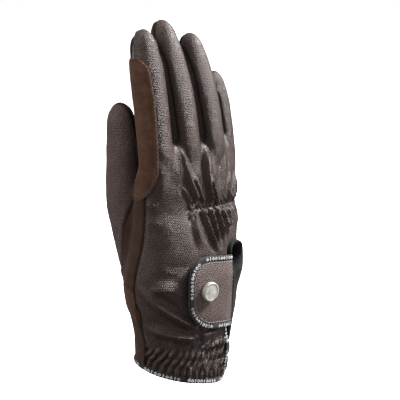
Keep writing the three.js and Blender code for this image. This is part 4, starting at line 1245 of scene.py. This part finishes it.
# Materials
class Finish:
    """A material, its surface shader and the nodes that feed it."""

    def __init__(self, name, roughness, metallic=0.0, specular=0.5, sheen=0.0):
        self.material = bpy.data.materials.new(name)
        self.material.use_nodes = True
        self.tree = self.material.node_tree
        self.shader = self.tree.nodes["Principled BSDF"]
        self.shader.inputs["Roughness"].default_value = roughness
        self.shader.inputs["Metallic"].default_value = metallic
        self.shader.inputs["Specular IOR Level"].default_value = specular
        self.shader.inputs["Sheen Weight"].default_value = sheen
        self.shader.inputs["Sheen Roughness"].default_value = 0.5

    def add(self, kind, inputs=None, **settings):
        made = self.tree.nodes.new(kind)
        for key, value in settings.items():
            setattr(made, key, value)
        for key, value in (inputs or {}).items():
            if isinstance(value, bpy.types.NodeSocket):
                self.tree.links.new(value, made.inputs[key])
            else:
                made.inputs[key].default_value = value
        return made

    def sum(self, operation, a, b=0.0):
        return self.add("ShaderNodeMath", {0: a, 1: b}, operation=operation).outputs[0]

    def spread(self, value, low, high, to_low=0.0, to_high=1.0):
        made = self.add("ShaderNodeMapRange", {
            "Value": value, "From Min": low, "From Max": high, "To Min": to_low, "To Max": to_high,
        }, interpolation_type="SMOOTHSTEP")
        return made.outputs["Result"]

    def blend(self, share, first, second):
        made = self.add("ShaderNodeMix", {"Factor": share, "A": first, "B": second}, data_type="RGBA")
        return made.outputs["Result"]

    def cloud(self, size, detail=3.0, rough=0.5):
        """Noise on the object, with spots of a size in millimetres."""
        place = self.add("ShaderNodeTexCoord").outputs["Object"]
        made = self.add("ShaderNodeTexNoise", {
            "Vector": place, "Scale": 1000 / size, "Detail": detail, "Roughness": rough,
        })
        return made.outputs["Fac"]

    def grain_place(self):
        return self.add("ShaderNodeUVMap", uv_map="grain").outputs["UV"]

    def bump(self, height, depth, under=None):
        """Bump of a depth in millimetres, on top of another bump if given."""
        made = self.add("ShaderNodeBump", {"Height": height, "Distance": depth * METRES, "Strength": 1.0})
        if under is not None:
            self.tree.links.new(under, made.inputs["Normal"])
        self.tree.links.new(made.outputs["Normal"], self.shader.inputs["Normal"])
        return made.outputs["Normal"]

    def colour(self, value):
        self.tree.links.new(value, self.shader.inputs["Base Color"])

    def roughness(self, value):
        self.tree.links.new(value, self.shader.inputs["Roughness"])


def painted_seam_shade(finish, colour, dark, share=0.4):
    """The colour, with painted shade in the sunk seams: there it takes a share of its dark tone."""
    seam = finish.add("ShaderNodeAttribute", attribute_name="seam").outputs["Fac"]
    return finish.blend(seam, colour, (*(share * c for c in dark[:3]), 1.0))


def embossed_leather(name, pitch, dark, light, roughness, depth, seams=True):
    """Synthetic leather with rows of fine raised grains, each row half a grain further along. Their colour
    carries painted highlight on the grain tops and painted shade between them.
    """
    finish = Finish(name, roughness, specular=0.32, sheen=0.0)
    finish.shader.inputs["Specular Tint"].default_value = (1.0, 0.93, 0.9, 1)
    place = finish.grain_place()
    rise = pitch * 0.82
    ways = {"X": (1 / pitch, 0.5 / rise, 0), "Y": (0, 1 / rise, 0)}
    spot = finish.add("ShaderNodeCombineXYZ", {
        key: finish.add("ShaderNodeVectorMath", {0: place, 1: way}, operation="DOT_PRODUCT").outputs["Value"]
        for key, way in ways.items()
    })
    cells = finish.add("ShaderNodeTexVoronoi", {
        "Vector": spot.outputs["Vector"], "Scale": 1.0, "Randomness": 0.42,
    }, voronoi_dimensions="2D", feature="F1")
    grain = finish.spread(cells.outputs["Distance"], 0.62, 0.12)
    mottle = finish.spread(finish.cloud(9.0, 4.0, 0.6), 0.25, 0.75, 0.55, 1.0)
    # The grain's height also sets the colour: painted highlight on each grain's top and painted shade in the
    # gaps between, over the leather's own mottled tone.
    colour = finish.blend(finish.sum("MULTIPLY", grain, mottle), dark, light)
    # Painted shade in the sunk seams.
    if seams:
        colour = painted_seam_shade(finish, colour, dark, 0.45)
    finish.colour(colour)
    wear = finish.spread(finish.cloud(4.0), 0.3, 0.7, roughness - 0.06, roughness + 0.1)
    finish.roughness(wear)
    fine = finish.bump(finish.cloud(0.45, 2.0), 0.03)
    finish.bump(grain, depth, fine)
    return finish.material


def suede(name, dark, light, seams=True):
    """Suede with a short nap, mottled where it has been stroked."""
    finish = Finish(name, 0.95, specular=0.12, sheen=0.08)
    mottle = finish.spread(finish.cloud(7.0, 5.0, 0.65), 0.3, 0.7)
    fibre = finish.spread(finish.cloud(0.7, 3.0, 0.7), 0.3, 0.7, 0.0, 0.6)
    tone = finish.sum("ADD", finish.sum("MULTIPLY", mottle, 0.55), finish.sum("MULTIPLY", fibre, 0.6))
    colour = finish.blend(tone, dark, light)
    # Painted shade in the sunk seams.
    if seams:
        colour = painted_seam_shade(finish, colour, dark)
    finish.colour(colour)
    soft = finish.bump(finish.cloud(2.6, 3.0), 0.18)
    finish.bump(finish.cloud(0.5, 2.0), 0.07, soft)
    return finish.material


def smooth_leather(name, dark, light):
    finish = Finish(name, 0.42, specular=0.5)
    colour = finish.blend(finish.spread(finish.cloud(6.0), 0.3, 0.7), dark, light)
    # Painted shade in the sunk seams.
    finish.colour(painted_seam_shade(finish, colour, dark))
    finish.bump(finish.cloud(0.8, 2.0), 0.04)
    return finish.material


def woven_binding(name, black, white):
    """Black tape with a plain white woven motif of bars and diamonds along its middle."""
    finish = Finish(name, 0.75, specular=0.3, sheen=0.1)
    place = finish.add("ShaderNodeSeparateXYZ", {"Vector": finish.grain_place()})
    run, across = place.outputs["X"], place.outputs["Y"]
    step = finish.sum("DIVIDE", run, MOTIF_PITCH)
    beside = finish.sum("ABSOLUTE", finish.sum("SUBTRACT", finish.sum("FRACT", step), 0.5))
    out = finish.sum("ABSOLUTE", finish.sum("SUBTRACT", across, 0.1))
    diamond = finish.sum("ADD", finish.sum("MULTIPLY", beside, 2.3), out)
    ring = finish.sum("ABSOLUTE", finish.sum("SUBTRACT", diamond, DIAMOND_SIZE))
    ring = finish.spread(ring, 0.42, 0.22)
    bar = finish.sum("MULTIPLY", finish.spread(beside, 0.17, 0.1), finish.spread(out, 1.25, 1.05))
    third = finish.sum("FRACT", finish.sum("DIVIDE", finish.sum("FLOOR", step), 3.0))
    motif = finish.blend(finish.sum("GREATER_THAN", third, 0.5), ring, bar)
    group = finish.sum("FRACT", finish.sum("DIVIDE", finish.sum("FLOOR", step), MOTIF_GROUP))
    motif = finish.sum("MULTIPLY", motif, finish.sum("LESS_THAN", group, 0.8))
    threads = finish.sum("SINE", finish.sum("MULTIPLY", run, 14.0))
    weft = finish.sum("SINE", finish.sum("MULTIPLY", across, 12.0))
    weave = finish.sum("MULTIPLY", threads, weft)
    motif = finish.sum("MULTIPLY", motif, finish.spread(weave, -1.0, 0.2, 0.65, 1.0))
    finish.colour(finish.blend(motif, black, white))
    finish.bump(finish.sum("ADD", finish.sum("MULTIPLY", weave, 0.5), motif), 0.12)
    return finish.material


def stretch_fabric(name, dark, light):
    """Black knit with fine upright ribs."""
    finish = Finish(name, 0.85, specular=0.2, sheen=0.04)
    place = finish.add("ShaderNodeSeparateXYZ", {"Vector": finish.grain_place()})
    ribs = finish.sum("SINE", finish.sum("MULTIPLY", place.outputs["X"], 9.0))
    loops = finish.sum("SINE", finish.sum("MULTIPLY", place.outputs["Y"], 11.0))
    knit = finish.spread(finish.sum("ADD", ribs, finish.sum("MULTIPLY", loops, 0.4)), -1.4, 1.4)
    mottle = finish.spread(finish.cloud(5.0), 0.3, 0.7)
    finish.colour(finish.blend(finish.sum("MULTIPLY", knit, mottle), dark, light))
    finish.bump(knit, 0.12)
    return finish.material


def hook_and_loop(name, dark, light):
    finish = Finish(name, 0.9, specular=0.25, sheen=0.3)
    fuzz = finish.spread(finish.cloud(0.8, 3.0, 0.7), 0.35, 0.65)
    finish.colour(finish.blend(fuzz, dark, light))
    finish.bump(fuzz, 0.3)
    return finish.material


def thread(name, dark, light):
    finish = Finish(name, 0.6, specular=0.4)
    finish.colour(finish.blend(finish.spread(finish.cloud(0.6), 0.35, 0.65), dark, light))
    finish.bump(finish.cloud(0.3), 0.05)
    return finish.material


def nickel(name, dark, light):
    """Nickel, a little worn, with fine scratches."""
    finish = Finish(name, 0.5, metallic=0.6)
    finish.colour(finish.blend(finish.spread(finish.cloud(3.0, 4.0), 0.3, 0.7), dark, light))
    finish.roughness(finish.spread(finish.cloud(1.2, 4.0), 0.3, 0.7, 0.45, 0.6))
    finish.bump(finish.cloud(0.8, 3.0), 0.015)
    return finish.material


back_leather = embossed_leather(
    "back_leather", 1.25, (0.012, 0.0068, 0.0054, 1), (0.074, 0.045, 0.038, 1), 0.42, 0.19)
# Lighter and greyer than the back leather: its own greyer tone, lightened further as painted light where the
# tab faces the key lamp.
lit_tab_leather = embossed_leather(
    "lit_tab_leather", 1.3, (0.046, 0.031, 0.028, 1), (0.2, 0.147, 0.134, 1), 0.46, 0.19, seams=False)
# Lighter and greyer than the back leather: its own greyer tone, lightened further as painted light for a
# better-lit thumb.
lit_thumb_leather = embossed_leather(
    "lit_thumb_leather", 1.25, (0.026, 0.016, 0.0135, 1), (0.115, 0.076, 0.068, 1), 0.46, 0.24)
# Half as light as the patch suede: painted shade, darkened against the thumb lamp's light on the palm side.
shaded_palm_suede = suede("shaded_palm_suede", (0.019, 0.0085, 0.005, 1), (0.047, 0.022, 0.0132, 1))
patch_suede = suede("patch_suede", (0.034, 0.016, 0.0095, 1), (0.085, 0.041, 0.025, 1), seams=False)
tip_leather = smooth_leather("tip_leather", (0.018, 0.02, 0.022, 1), (0.05, 0.055, 0.06, 1))
lining_cloth = stretch_fabric("inside_cloth", (0.012, 0.011, 0.011, 1), (0.04, 0.036, 0.036, 1))
binding_tape = woven_binding("binding_tape", (0.008, 0.008, 0.009, 1), (0.62, 0.62, 0.6, 1))
facing_knit = stretch_fabric("facing_knit", (0.004, 0.004, 0.0045, 1), (0.02, 0.019, 0.0195, 1))
pad_hooks = hook_and_loop("pad_hooks", (0.006, 0.006, 0.006, 1), (0.03, 0.03, 0.032, 1))
grey_thread = thread("grey_thread", (0.16, 0.15, 0.15, 1), (0.36, 0.35, 0.35, 1))
brown_thread = thread("brown_thread", (0.03, 0.018, 0.012, 1), (0.09, 0.055, 0.035, 1))
cap_nickel = nickel("cap_nickel", (0.38, 0.36, 0.32, 1), (0.56, 0.54, 0.49, 1))


# The glove's skin, cut into its panels
OPEN, BACK, PALM, THUMB_BACK, THUMB_FRONT, TIP, STRIPS = range(7)


def hem_zone(points):
    level, angle, _ = hand_place(points)
    return cuff_edge(level, arc_at(level, angle)) - HEM_TUCK * BINDING_WIDTH


def panel_of(points):
    """The number of the panel each place belongs to."""
    z = points[:, 2]
    panel = np.where(palm_side(points, -1) < 0, BACK, PALM)
    between = (palm_side(points, -1) > 0) & (palm_side(points, 1) < 0) & (z > HAND_LENGTH - STRIP_BELOW_WEB)
    centres = np.stack([finger_axis(i, finger_share(i, z))[:, 0] for i in range(len(FINGER_NAMES))])
    for i in range(len(FINGER_NAMES) - 1):
        inside = between & (points[:, 0] > centres[i]) & (points[:, 0] < centres[i + 1])
        panel = np.where(inside, STRIPS + i, panel)
    panel = np.where(fingertip_zone(points) < 0, TIP, panel)
    panel = np.where(thumb_front_zone(points) < 0, THUMB_FRONT, panel)
    panel = np.where(tongue_zone(points) < 0, THUMB_BACK, panel)
    return np.where(facing_edge(points, SLIT_GAP) < 0, OPEN, panel)


def cut_skin():
    """The smooth form cut along every seam, its grain, the painted shade along its sunk seams, and the same
    raised by its relief.
    """
    points, faces = glove_form()
    seams = (
        lambda p: palm_side(p, -1), lambda p: palm_side(p, 1),
        tongue_zone, thumb_front_zone, fingertip_zone, lambda p: facing_edge(p, SLIT_GAP), hem_zone,
    )
    for zone in seams:
        points, faces = cut(points, faces, zone)
    faces = faces[hem_zone(points[faces].mean(1)) > 0]
    level, angle, away = hand_place(points)
    digits = nearest_digit(points, away)
    raised = points + join_normals(points, faces) * relief(points)[:, None]
    return {
        "points": points,
        "faces": faces,
        "middles": points[faces].mean(1),
        "grain": digit_places(points, digits, level, arc_at(level, angle)),
        # Painted shade: 1 in the sunk seam grooves, falling to 0 beside them, used to darken the colour
        # there.
        "seams": hump(seam_gap(points, digits), PAINTED_SEAM_SHADE_REACH),
        "raised": raised,
        "normals": join_normals(raised, faces),
    }


skin = cut_skin()
skin_panels = panel_of(skin["middles"])


def panel(name, number, material, slot, node):
    faces = skin["faces"][skin_panels == number]
    flat = np.zeros(len(skin["points"]))
    # The skin's seams values carry the painted seam shade onto each panel.
    made = shell(name, skin["raised"], skin["normals"], faces, flat, flat - WALL,
                 skin["grain"], skin["seams"], lined=True)
    finish_piece(made, slot, [material, lining_cloth], node)


panel("leather_back", BACK, back_leather, "embossed_leather", "back_panel")
panel("suede_palm", PALM, shaded_palm_suede, "suede", "palm_panel")
panel("leather_thumb", THUMB_BACK, lit_thumb_leather, "embossed_leather", "thumb_back")
panel("suede_thumb", THUMB_FRONT, shaded_palm_suede, "suede", "thumb_front")
panel("smooth_fingertip", TIP, tip_leather, "smooth_leather", "index_fingertip")
for number, fingers in enumerate(zip(FINGER_NAMES, FINGER_NAMES[1:]), STRIPS):
    pair = "_".join(fingers)
    panel(f"leather_strip_{pair}", number, back_leather, "embossed_leather", f"side_strip_{pair}")


# Patches sewn on the skin
def patch(name, zone, low, high, node):
    """A suede patch over the skin where zone is below 0, looked for between the places low and high."""
    middles = skin["middles"]
    faces = skin["faces"][((middles > low) & (middles < high)).all(1)]
    used, corner = np.unique(faces, return_inverse=True)
    smooth, small = finer(skin["points"][used], corner.reshape(-1, 3))
    smooth, small = cut(smooth, small, zone)
    small = small[zone(smooth[small].mean(1)) < 0]
    used, corner = np.unique(small, return_inverse=True)
    smooth, small = smooth[used], corner.reshape(-1, 3)
    normals = join_normals(smooth, small)
    level, angle, away = hand_place(smooth)
    grain = digit_places(smooth, nearest_digit(smooth, away), level, arc_at(level, angle))
    depth = -zone(smooth)
    base = relief(smooth, seams=False) * ease(depth, -1, 3) + PATCH_WAVES * soft_waves(smooth, 5.0, 4)
    stitched = STITCH_SINK * hump(depth - STITCH_INSET, 0.6)
    top = base + LAYER_GAP * 0.5 + SUEDE_PATCH * rounded(depth, PATCH_EDGE_RADIUS) - stitched
    made = shell(name, smooth, normals, small, top, base + PATCH_CLEARANCE, grain)
    return finish_piece(made, "suede", [patch_suede], node)


index_patch = patch(
    "suede_index_patch", patch_zone,
    (-np.inf, -np.inf, PATCH_BOTTOM - 8), (-5, 30, PATCH_TOP + 4), "index_patch")
patch("suede_heel_patch", heel_zone, (-np.inf, HEEL_START - 3, HEEL_LOW - 4), (6, np.inf, HEEL_HIGH + 18),
      "heel_patch")


# Closure at the wrist: tab, pad and facing
def tab_zone(points, inset=0.0):
    return outline_distance(points[:, 0], points[:, 2], tab_outline(inset))


def tab_top(points, depth):
    """The tab's face: rounded at its edge, slightly full, and sunk along its stitching."""
    full = TAB_FULLNESS * ease(depth, 0, 7)
    sunk = STITCH_SINK * hump(depth - 1.0, 0.45)
    return TAB_OUT + TAB_THICKNESS * 0.8 + full - sunk + TAB_WAVES * soft_waves(points, 9.0, 6)


def facing_top(points, depth):
    """A soft rolled edge, fuller round the hole and pressed flat where the tab lies on it."""
    loop = ease(points[:, 0], SLIT_X + 3, SLIT_X + 8) * ease(points[:, 2], 50, 70)
    roll = FACING_SINK + mix(FACING_ROLL, LOOP_ROLL, loop) * rounded(depth, FACING_RADIUS)
    roll += FACING_WAVES * soft_waves(points, 6.0, 9)
    under = np.where(points[:, 0] < SLIT_X, ease(tab_zone(points), 1.0, -0.5), 0)
    return mix(roll, np.minimum(roll, TAB_OUT - 0.3), under)


def closure():
    """The tab, the pad under it and the facing of the slit. Gives the tab."""
    sheet = back_sheet((-26, 44), (12, 96), SHEET_GRID)
    tab = sheet_piece(
        "leather_tab", sheet, lambda p: tab_zone(p, 0.5 * BINDING_WIDTH),
        tab_top, lambda p, depth: np.full(len(p), TAB_OUT),
    )
    finish_piece(tab, "embossed_leather", [lit_tab_leather], "tab")
    pad = sheet_piece(
        "closure_hooks", sheet, lambda p: np.maximum(tab_zone(p, PAD_MARGIN), -facing_edge(p, 0.5)),
        lambda p, depth: LAYER_GAP + PAD_THICKNESS * rounded(depth, 0.6),
        lambda p, depth: np.full(len(p), LAYER_GAP),
    )
    finish_piece(pad, "hook_and_loop", [pad_hooks], "closure_pad")
    facing = sheet_piece(
        "stretch_facing", sheet, lambda p: np.maximum(facing_edge(p), -slit_edge(p)),
        facing_top, lambda p, depth: np.full(len(p), -WALL - BINDING_OUT),
    )
    finish_piece(facing, "stretch_fabric", [facing_knit], "slit_facing")
    return tab


tab = closure()


# Bindings
def hem_path():
    """The raw edge's middle line: down the slit's right side, round the hem and up to under the tab."""
    inset = 0.5 * BINDING_WIDTH
    radius = CUFF_CORNER - inset
    slit = arc_of_slit(np.array([5.0]))[0]
    right = slit + SLIT_GAP + inset
    left = slit + HEM_ROUND - SLIT_GAP - inset
    flat = [(right, z) for z in np.linspace(FACING_FOOT + 1, CUFF_CORNER, 16)]
    flat += arc_points(right + radius, CUFF_CORNER, radius, 180, 270, 12)[1:]
    flat += [(s, inset) for s in np.linspace(right + radius, left - radius, 260)[1:]]
    flat += arc_points(left - radius, CUFF_CORNER, radius, 270, 360, 12)[1:]
    flat += [(left, z) for z in np.linspace(CUFF_CORNER, LEG_TOP, 40)[1:]]
    arc, level = np.array(flat).T
    on_flap = arc > slit + HEM_ROUND / 2
    shift = (arc_of_slit(level) - slit) * ease(level, inset, CUFF_CORNER)
    angle = angle_at(level, np.where(on_flap, arc - HEM_ROUND, arc) + shift)
    flap = np.where(on_flap, slit_curl(level, arc - HEM_ROUND), 0)
    normals = hand_normal(angle, level)
    ahead = unit(np.stack([-normals[:, 1], normals[:, 0], np.zeros(len(normals))], -1))
    leaned = unit(normals - ahead * (FLAP_LEAN * flap / SLIT_CURL)[:, None])
    return hand_point(angle, level, flap - 0.5 * WALL), leaned


def binding(name, path, out, thick, node):
    profile, middle = band_profile(BINDING_WIDTH, thick, BINDING_CORNER)
    finish_piece(sweep(name, path, out, profile, middle), "woven_binding", [binding_tape], node)


tab_edge = back_path(tab_outline(0.5 * BINDING_WIDTH), TAB_OUT + 0.5 * TAB_THICKNESS)
binding("tape_tab", *tab_edge, TAB_THICKNESS + 2 * TAB_BINDING_OUT, "tab_binding")
binding("tape_hem", *hem_path(), WALL + 2 * BINDING_OUT, "hem_binding")


# Cap
def domed_cap():
    """A turned cap: a plain dish with a raised rim, slightly domed in its middle."""
    x = SLIT_X - 0.6 * TAB_LENGTH
    z = TAB_BOTTOM + 0.53 * TAB_HEIGHT + TAB_SLOPE * (SLIT_X - x)
    angle, level = back_place([x], [z], TAB_OUT + TAB_THICKNESS)
    out = Vector(hand_normal(angle, level)[0])
    seat = Vector(hand_point(angle, level, TAB_OUT + TAB_THICKNESS)[0])
    select_none()
    bpy.ops.mesh.primitive_cylinder_add(
        vertices=64, radius=CAP_DIAMETER / 2 * METRES, depth=CAP_HEIGHT * METRES, end_fill_type="NGON",
        location=seat * METRES + out * (0.5 * CAP_HEIGHT * METRES),
        rotation=out.to_track_quat("Z", "Y").to_euler(),
    )
    made = bpy.context.active_object
    made.name = "nickel_cap"
    bpy.ops.object.transform_apply(location=True, rotation=True, scale=True)
    bpy.ops.object.mode_set(mode="EDIT")
    bpy.ops.mesh.select_mode(type="FACE")
    bpy.ops.mesh.select_all(action="DESELECT")
    bpy.ops.object.mode_set(mode="OBJECT")
    for face in made.data.polygons:
        face.select = face.normal.dot(out) > 0.9
    bpy.ops.object.mode_set(mode="EDIT")
    for inset, rise in CAP_STEPS:
        bpy.ops.mesh.inset(thickness=inset * METRES, depth=0)
        bpy.ops.transform.translate(value=out * (rise * METRES))
    bpy.ops.object.mode_set(mode="OBJECT")
    bpy.ops.object.modifier_add(type="BEVEL")
    made.modifiers[-1].width = CAP_BEVEL * METRES
    made.modifiers[-1].segments = 2
    bpy.ops.object.modifier_apply(modifier=made.modifiers[-1].name)
    finish_piece(made, "nickel", [cap_nickel], "tab_cap", angle=30)


domed_cap()


# Stitching
def stitch_row(name, base, path, outward, material, slot, pitch):
    """Stitches along a path, dropped from outside onto a finished piece."""
    mesh = base.data
    vertices = [tuple(c / METRES for c in v.co) for v in mesh.vertices]
    tree = BVHTree.FromPolygons(vertices, [tuple(p.vertices) for p in mesh.polygons])
    laid = []
    for spot, out in zip(path, outward):
        hit = tree.ray_cast(Vector(spot + out * DROP), Vector(-out))[0]
        laid.append(spot if hit is None else np.array(hit))

    def normals_at(spots):
        return np.array([np.array(tree.find_nearest(Vector(spot))[1]) for spot in spots])

    finish_piece(stitches(name, np.array(laid), normals_at, pitch), slot, [material])


def patch_stitch_path():
    """A line a little inside the index patch's edge, in front of the back of the hand."""
    line = []
    for up, right in zip(PATCH_EDGE["up"][1:-1], PATCH_EDGE["right"][1:-1]):
        z = mix(PATCH_BOTTOM, PATCH_TOP, up)
        line.append((patch_edge_x(z, right) - PATCH_STITCH_INSET, -FAR / 3, z))
    return even_path(np.array(line), 0.8)


tab_row = back_path(tab_outline(BINDING_WIDTH + 1.0), TAB_OUT + TAB_THICKNESS)
stitch_row("thread_tab", tab, *tab_row, grey_thread, "embossed_leather", TAB_STITCH_PITCH)
patch_row = patch_stitch_path()
from_back = np.tile([0.0, -1.0, 0.0], (len(patch_row), 1))
stitch_row("thread_index_patch", index_patch, patch_row, from_back, brown_thread, "suede", STITCH_PITCH)


# Studio
def studio_floor():
    select_none()
    bpy.ops.mesh.primitive_plane_add(size=8, location=(0, 0, -0.06))
    floor = bpy.context.active_object
    floor.name = "studio_floor"
    paint = Finish("studio_white", 0.9)
    paint.shader.inputs["Base Color"].default_value = (0.93, 0.93, 0.93, 1)
    paint.shader.inputs["Emission Color"].default_value = (1, 1, 1, 1)
    paint.shader.inputs["Emission Strength"].default_value = FLOOR_GLOW
    floor.data.materials.append(paint.material)
    floor.visible_diffuse = False
    floor.visible_glossy = False


def studio_room():
    """Soft white light, stronger from above. The camera sees it plain white."""
    world = bpy.data.worlds.new("studio")
    world.use_nodes = True
    tree = world.node_tree
    background = tree.nodes["Background"].inputs
    background["Color"].default_value = (1, 1, 1, 1)
    height = tree.nodes.new("ShaderNodeSeparateXYZ")
    tree.links.new(tree.nodes.new("ShaderNodeTexCoord").outputs["Generated"], height.inputs["Vector"])
    ceiling = tree.nodes.new("ShaderNodeMapRange")
    ceiling.interpolation_type = "SMOOTHSTEP"
    tree.links.new(height.outputs["Z"], ceiling.inputs["Value"])
    span = {"From Min": 0.25, "From Max": 0.75, "To Min": ROOM_LIGHT, "To Max": CEILING_LIGHT}
    for socket, value in span.items():
        ceiling.inputs[socket].default_value = value
    seen = tree.nodes.new("ShaderNodeLightPath").outputs["Is Camera Ray"]
    level = tree.nodes.new("ShaderNodeMix")
    tree.links.new(seen, level.inputs[0])
    tree.links.new(ceiling.outputs["Result"], level.inputs[2])
    level.inputs[3].default_value = 1.0
    tree.links.new(level.outputs[0], background["Strength"])
    bpy.context.scene.world = world
    bpy.context.scene.view_settings.view_transform = "Standard"


def camera_frame():
    """The camera's directions out of the glove, to the right and up, and the point it looks at."""
    a, e = math.radians(CAMERA_AZIMUTH), math.radians(CAMERA_ELEVATION)
    out = Vector((math.sin(a) * math.cos(e), -math.cos(a) * math.cos(e), math.sin(e)))
    right = Vector((math.cos(a), math.sin(a), 0))
    up = out.cross(right)
    target = (right * CAMERA_RIGHT + up * CAMERA_UP) * METRES
    return out, right, up, target


def place(name, data, way, distance):
    """A lamp or camera at a distance from the glove, aimed at it."""
    made = bpy.data.objects.new(name, data)
    target = camera_frame()[3]
    made.location = target + way * distance
    made.rotation_euler = (made.location - target).to_track_quat("Z", "Y").to_euler()
    bpy.context.scene.collection.objects.link(made)
    return made


def lamp(name, right, up, out, size, energy):
    """A square soft lamp, placed in the camera's directions in metres."""
    o, r, u, _ = camera_frame()
    data = bpy.data.lights.new(name, "AREA")
    data.size = size
    data.energy = energy
    place(name, data, r * right + u * up + o * out, 1.0)


def photo_camera():
    data = bpy.data.cameras.new("photo_camera")
    data.sensor_fit = "AUTO"
    data.angle = math.radians(CAMERA_ANGLE)
    data.clip_start = 0.05
    data.clip_end = 50
    bpy.context.scene.camera = place("photo_camera", data, camera_frame()[0], CAMERA_DISTANCE * METRES)


studio_floor()
studio_room()
for row in LAMPS:
    lamp(*row)
photo_camera()
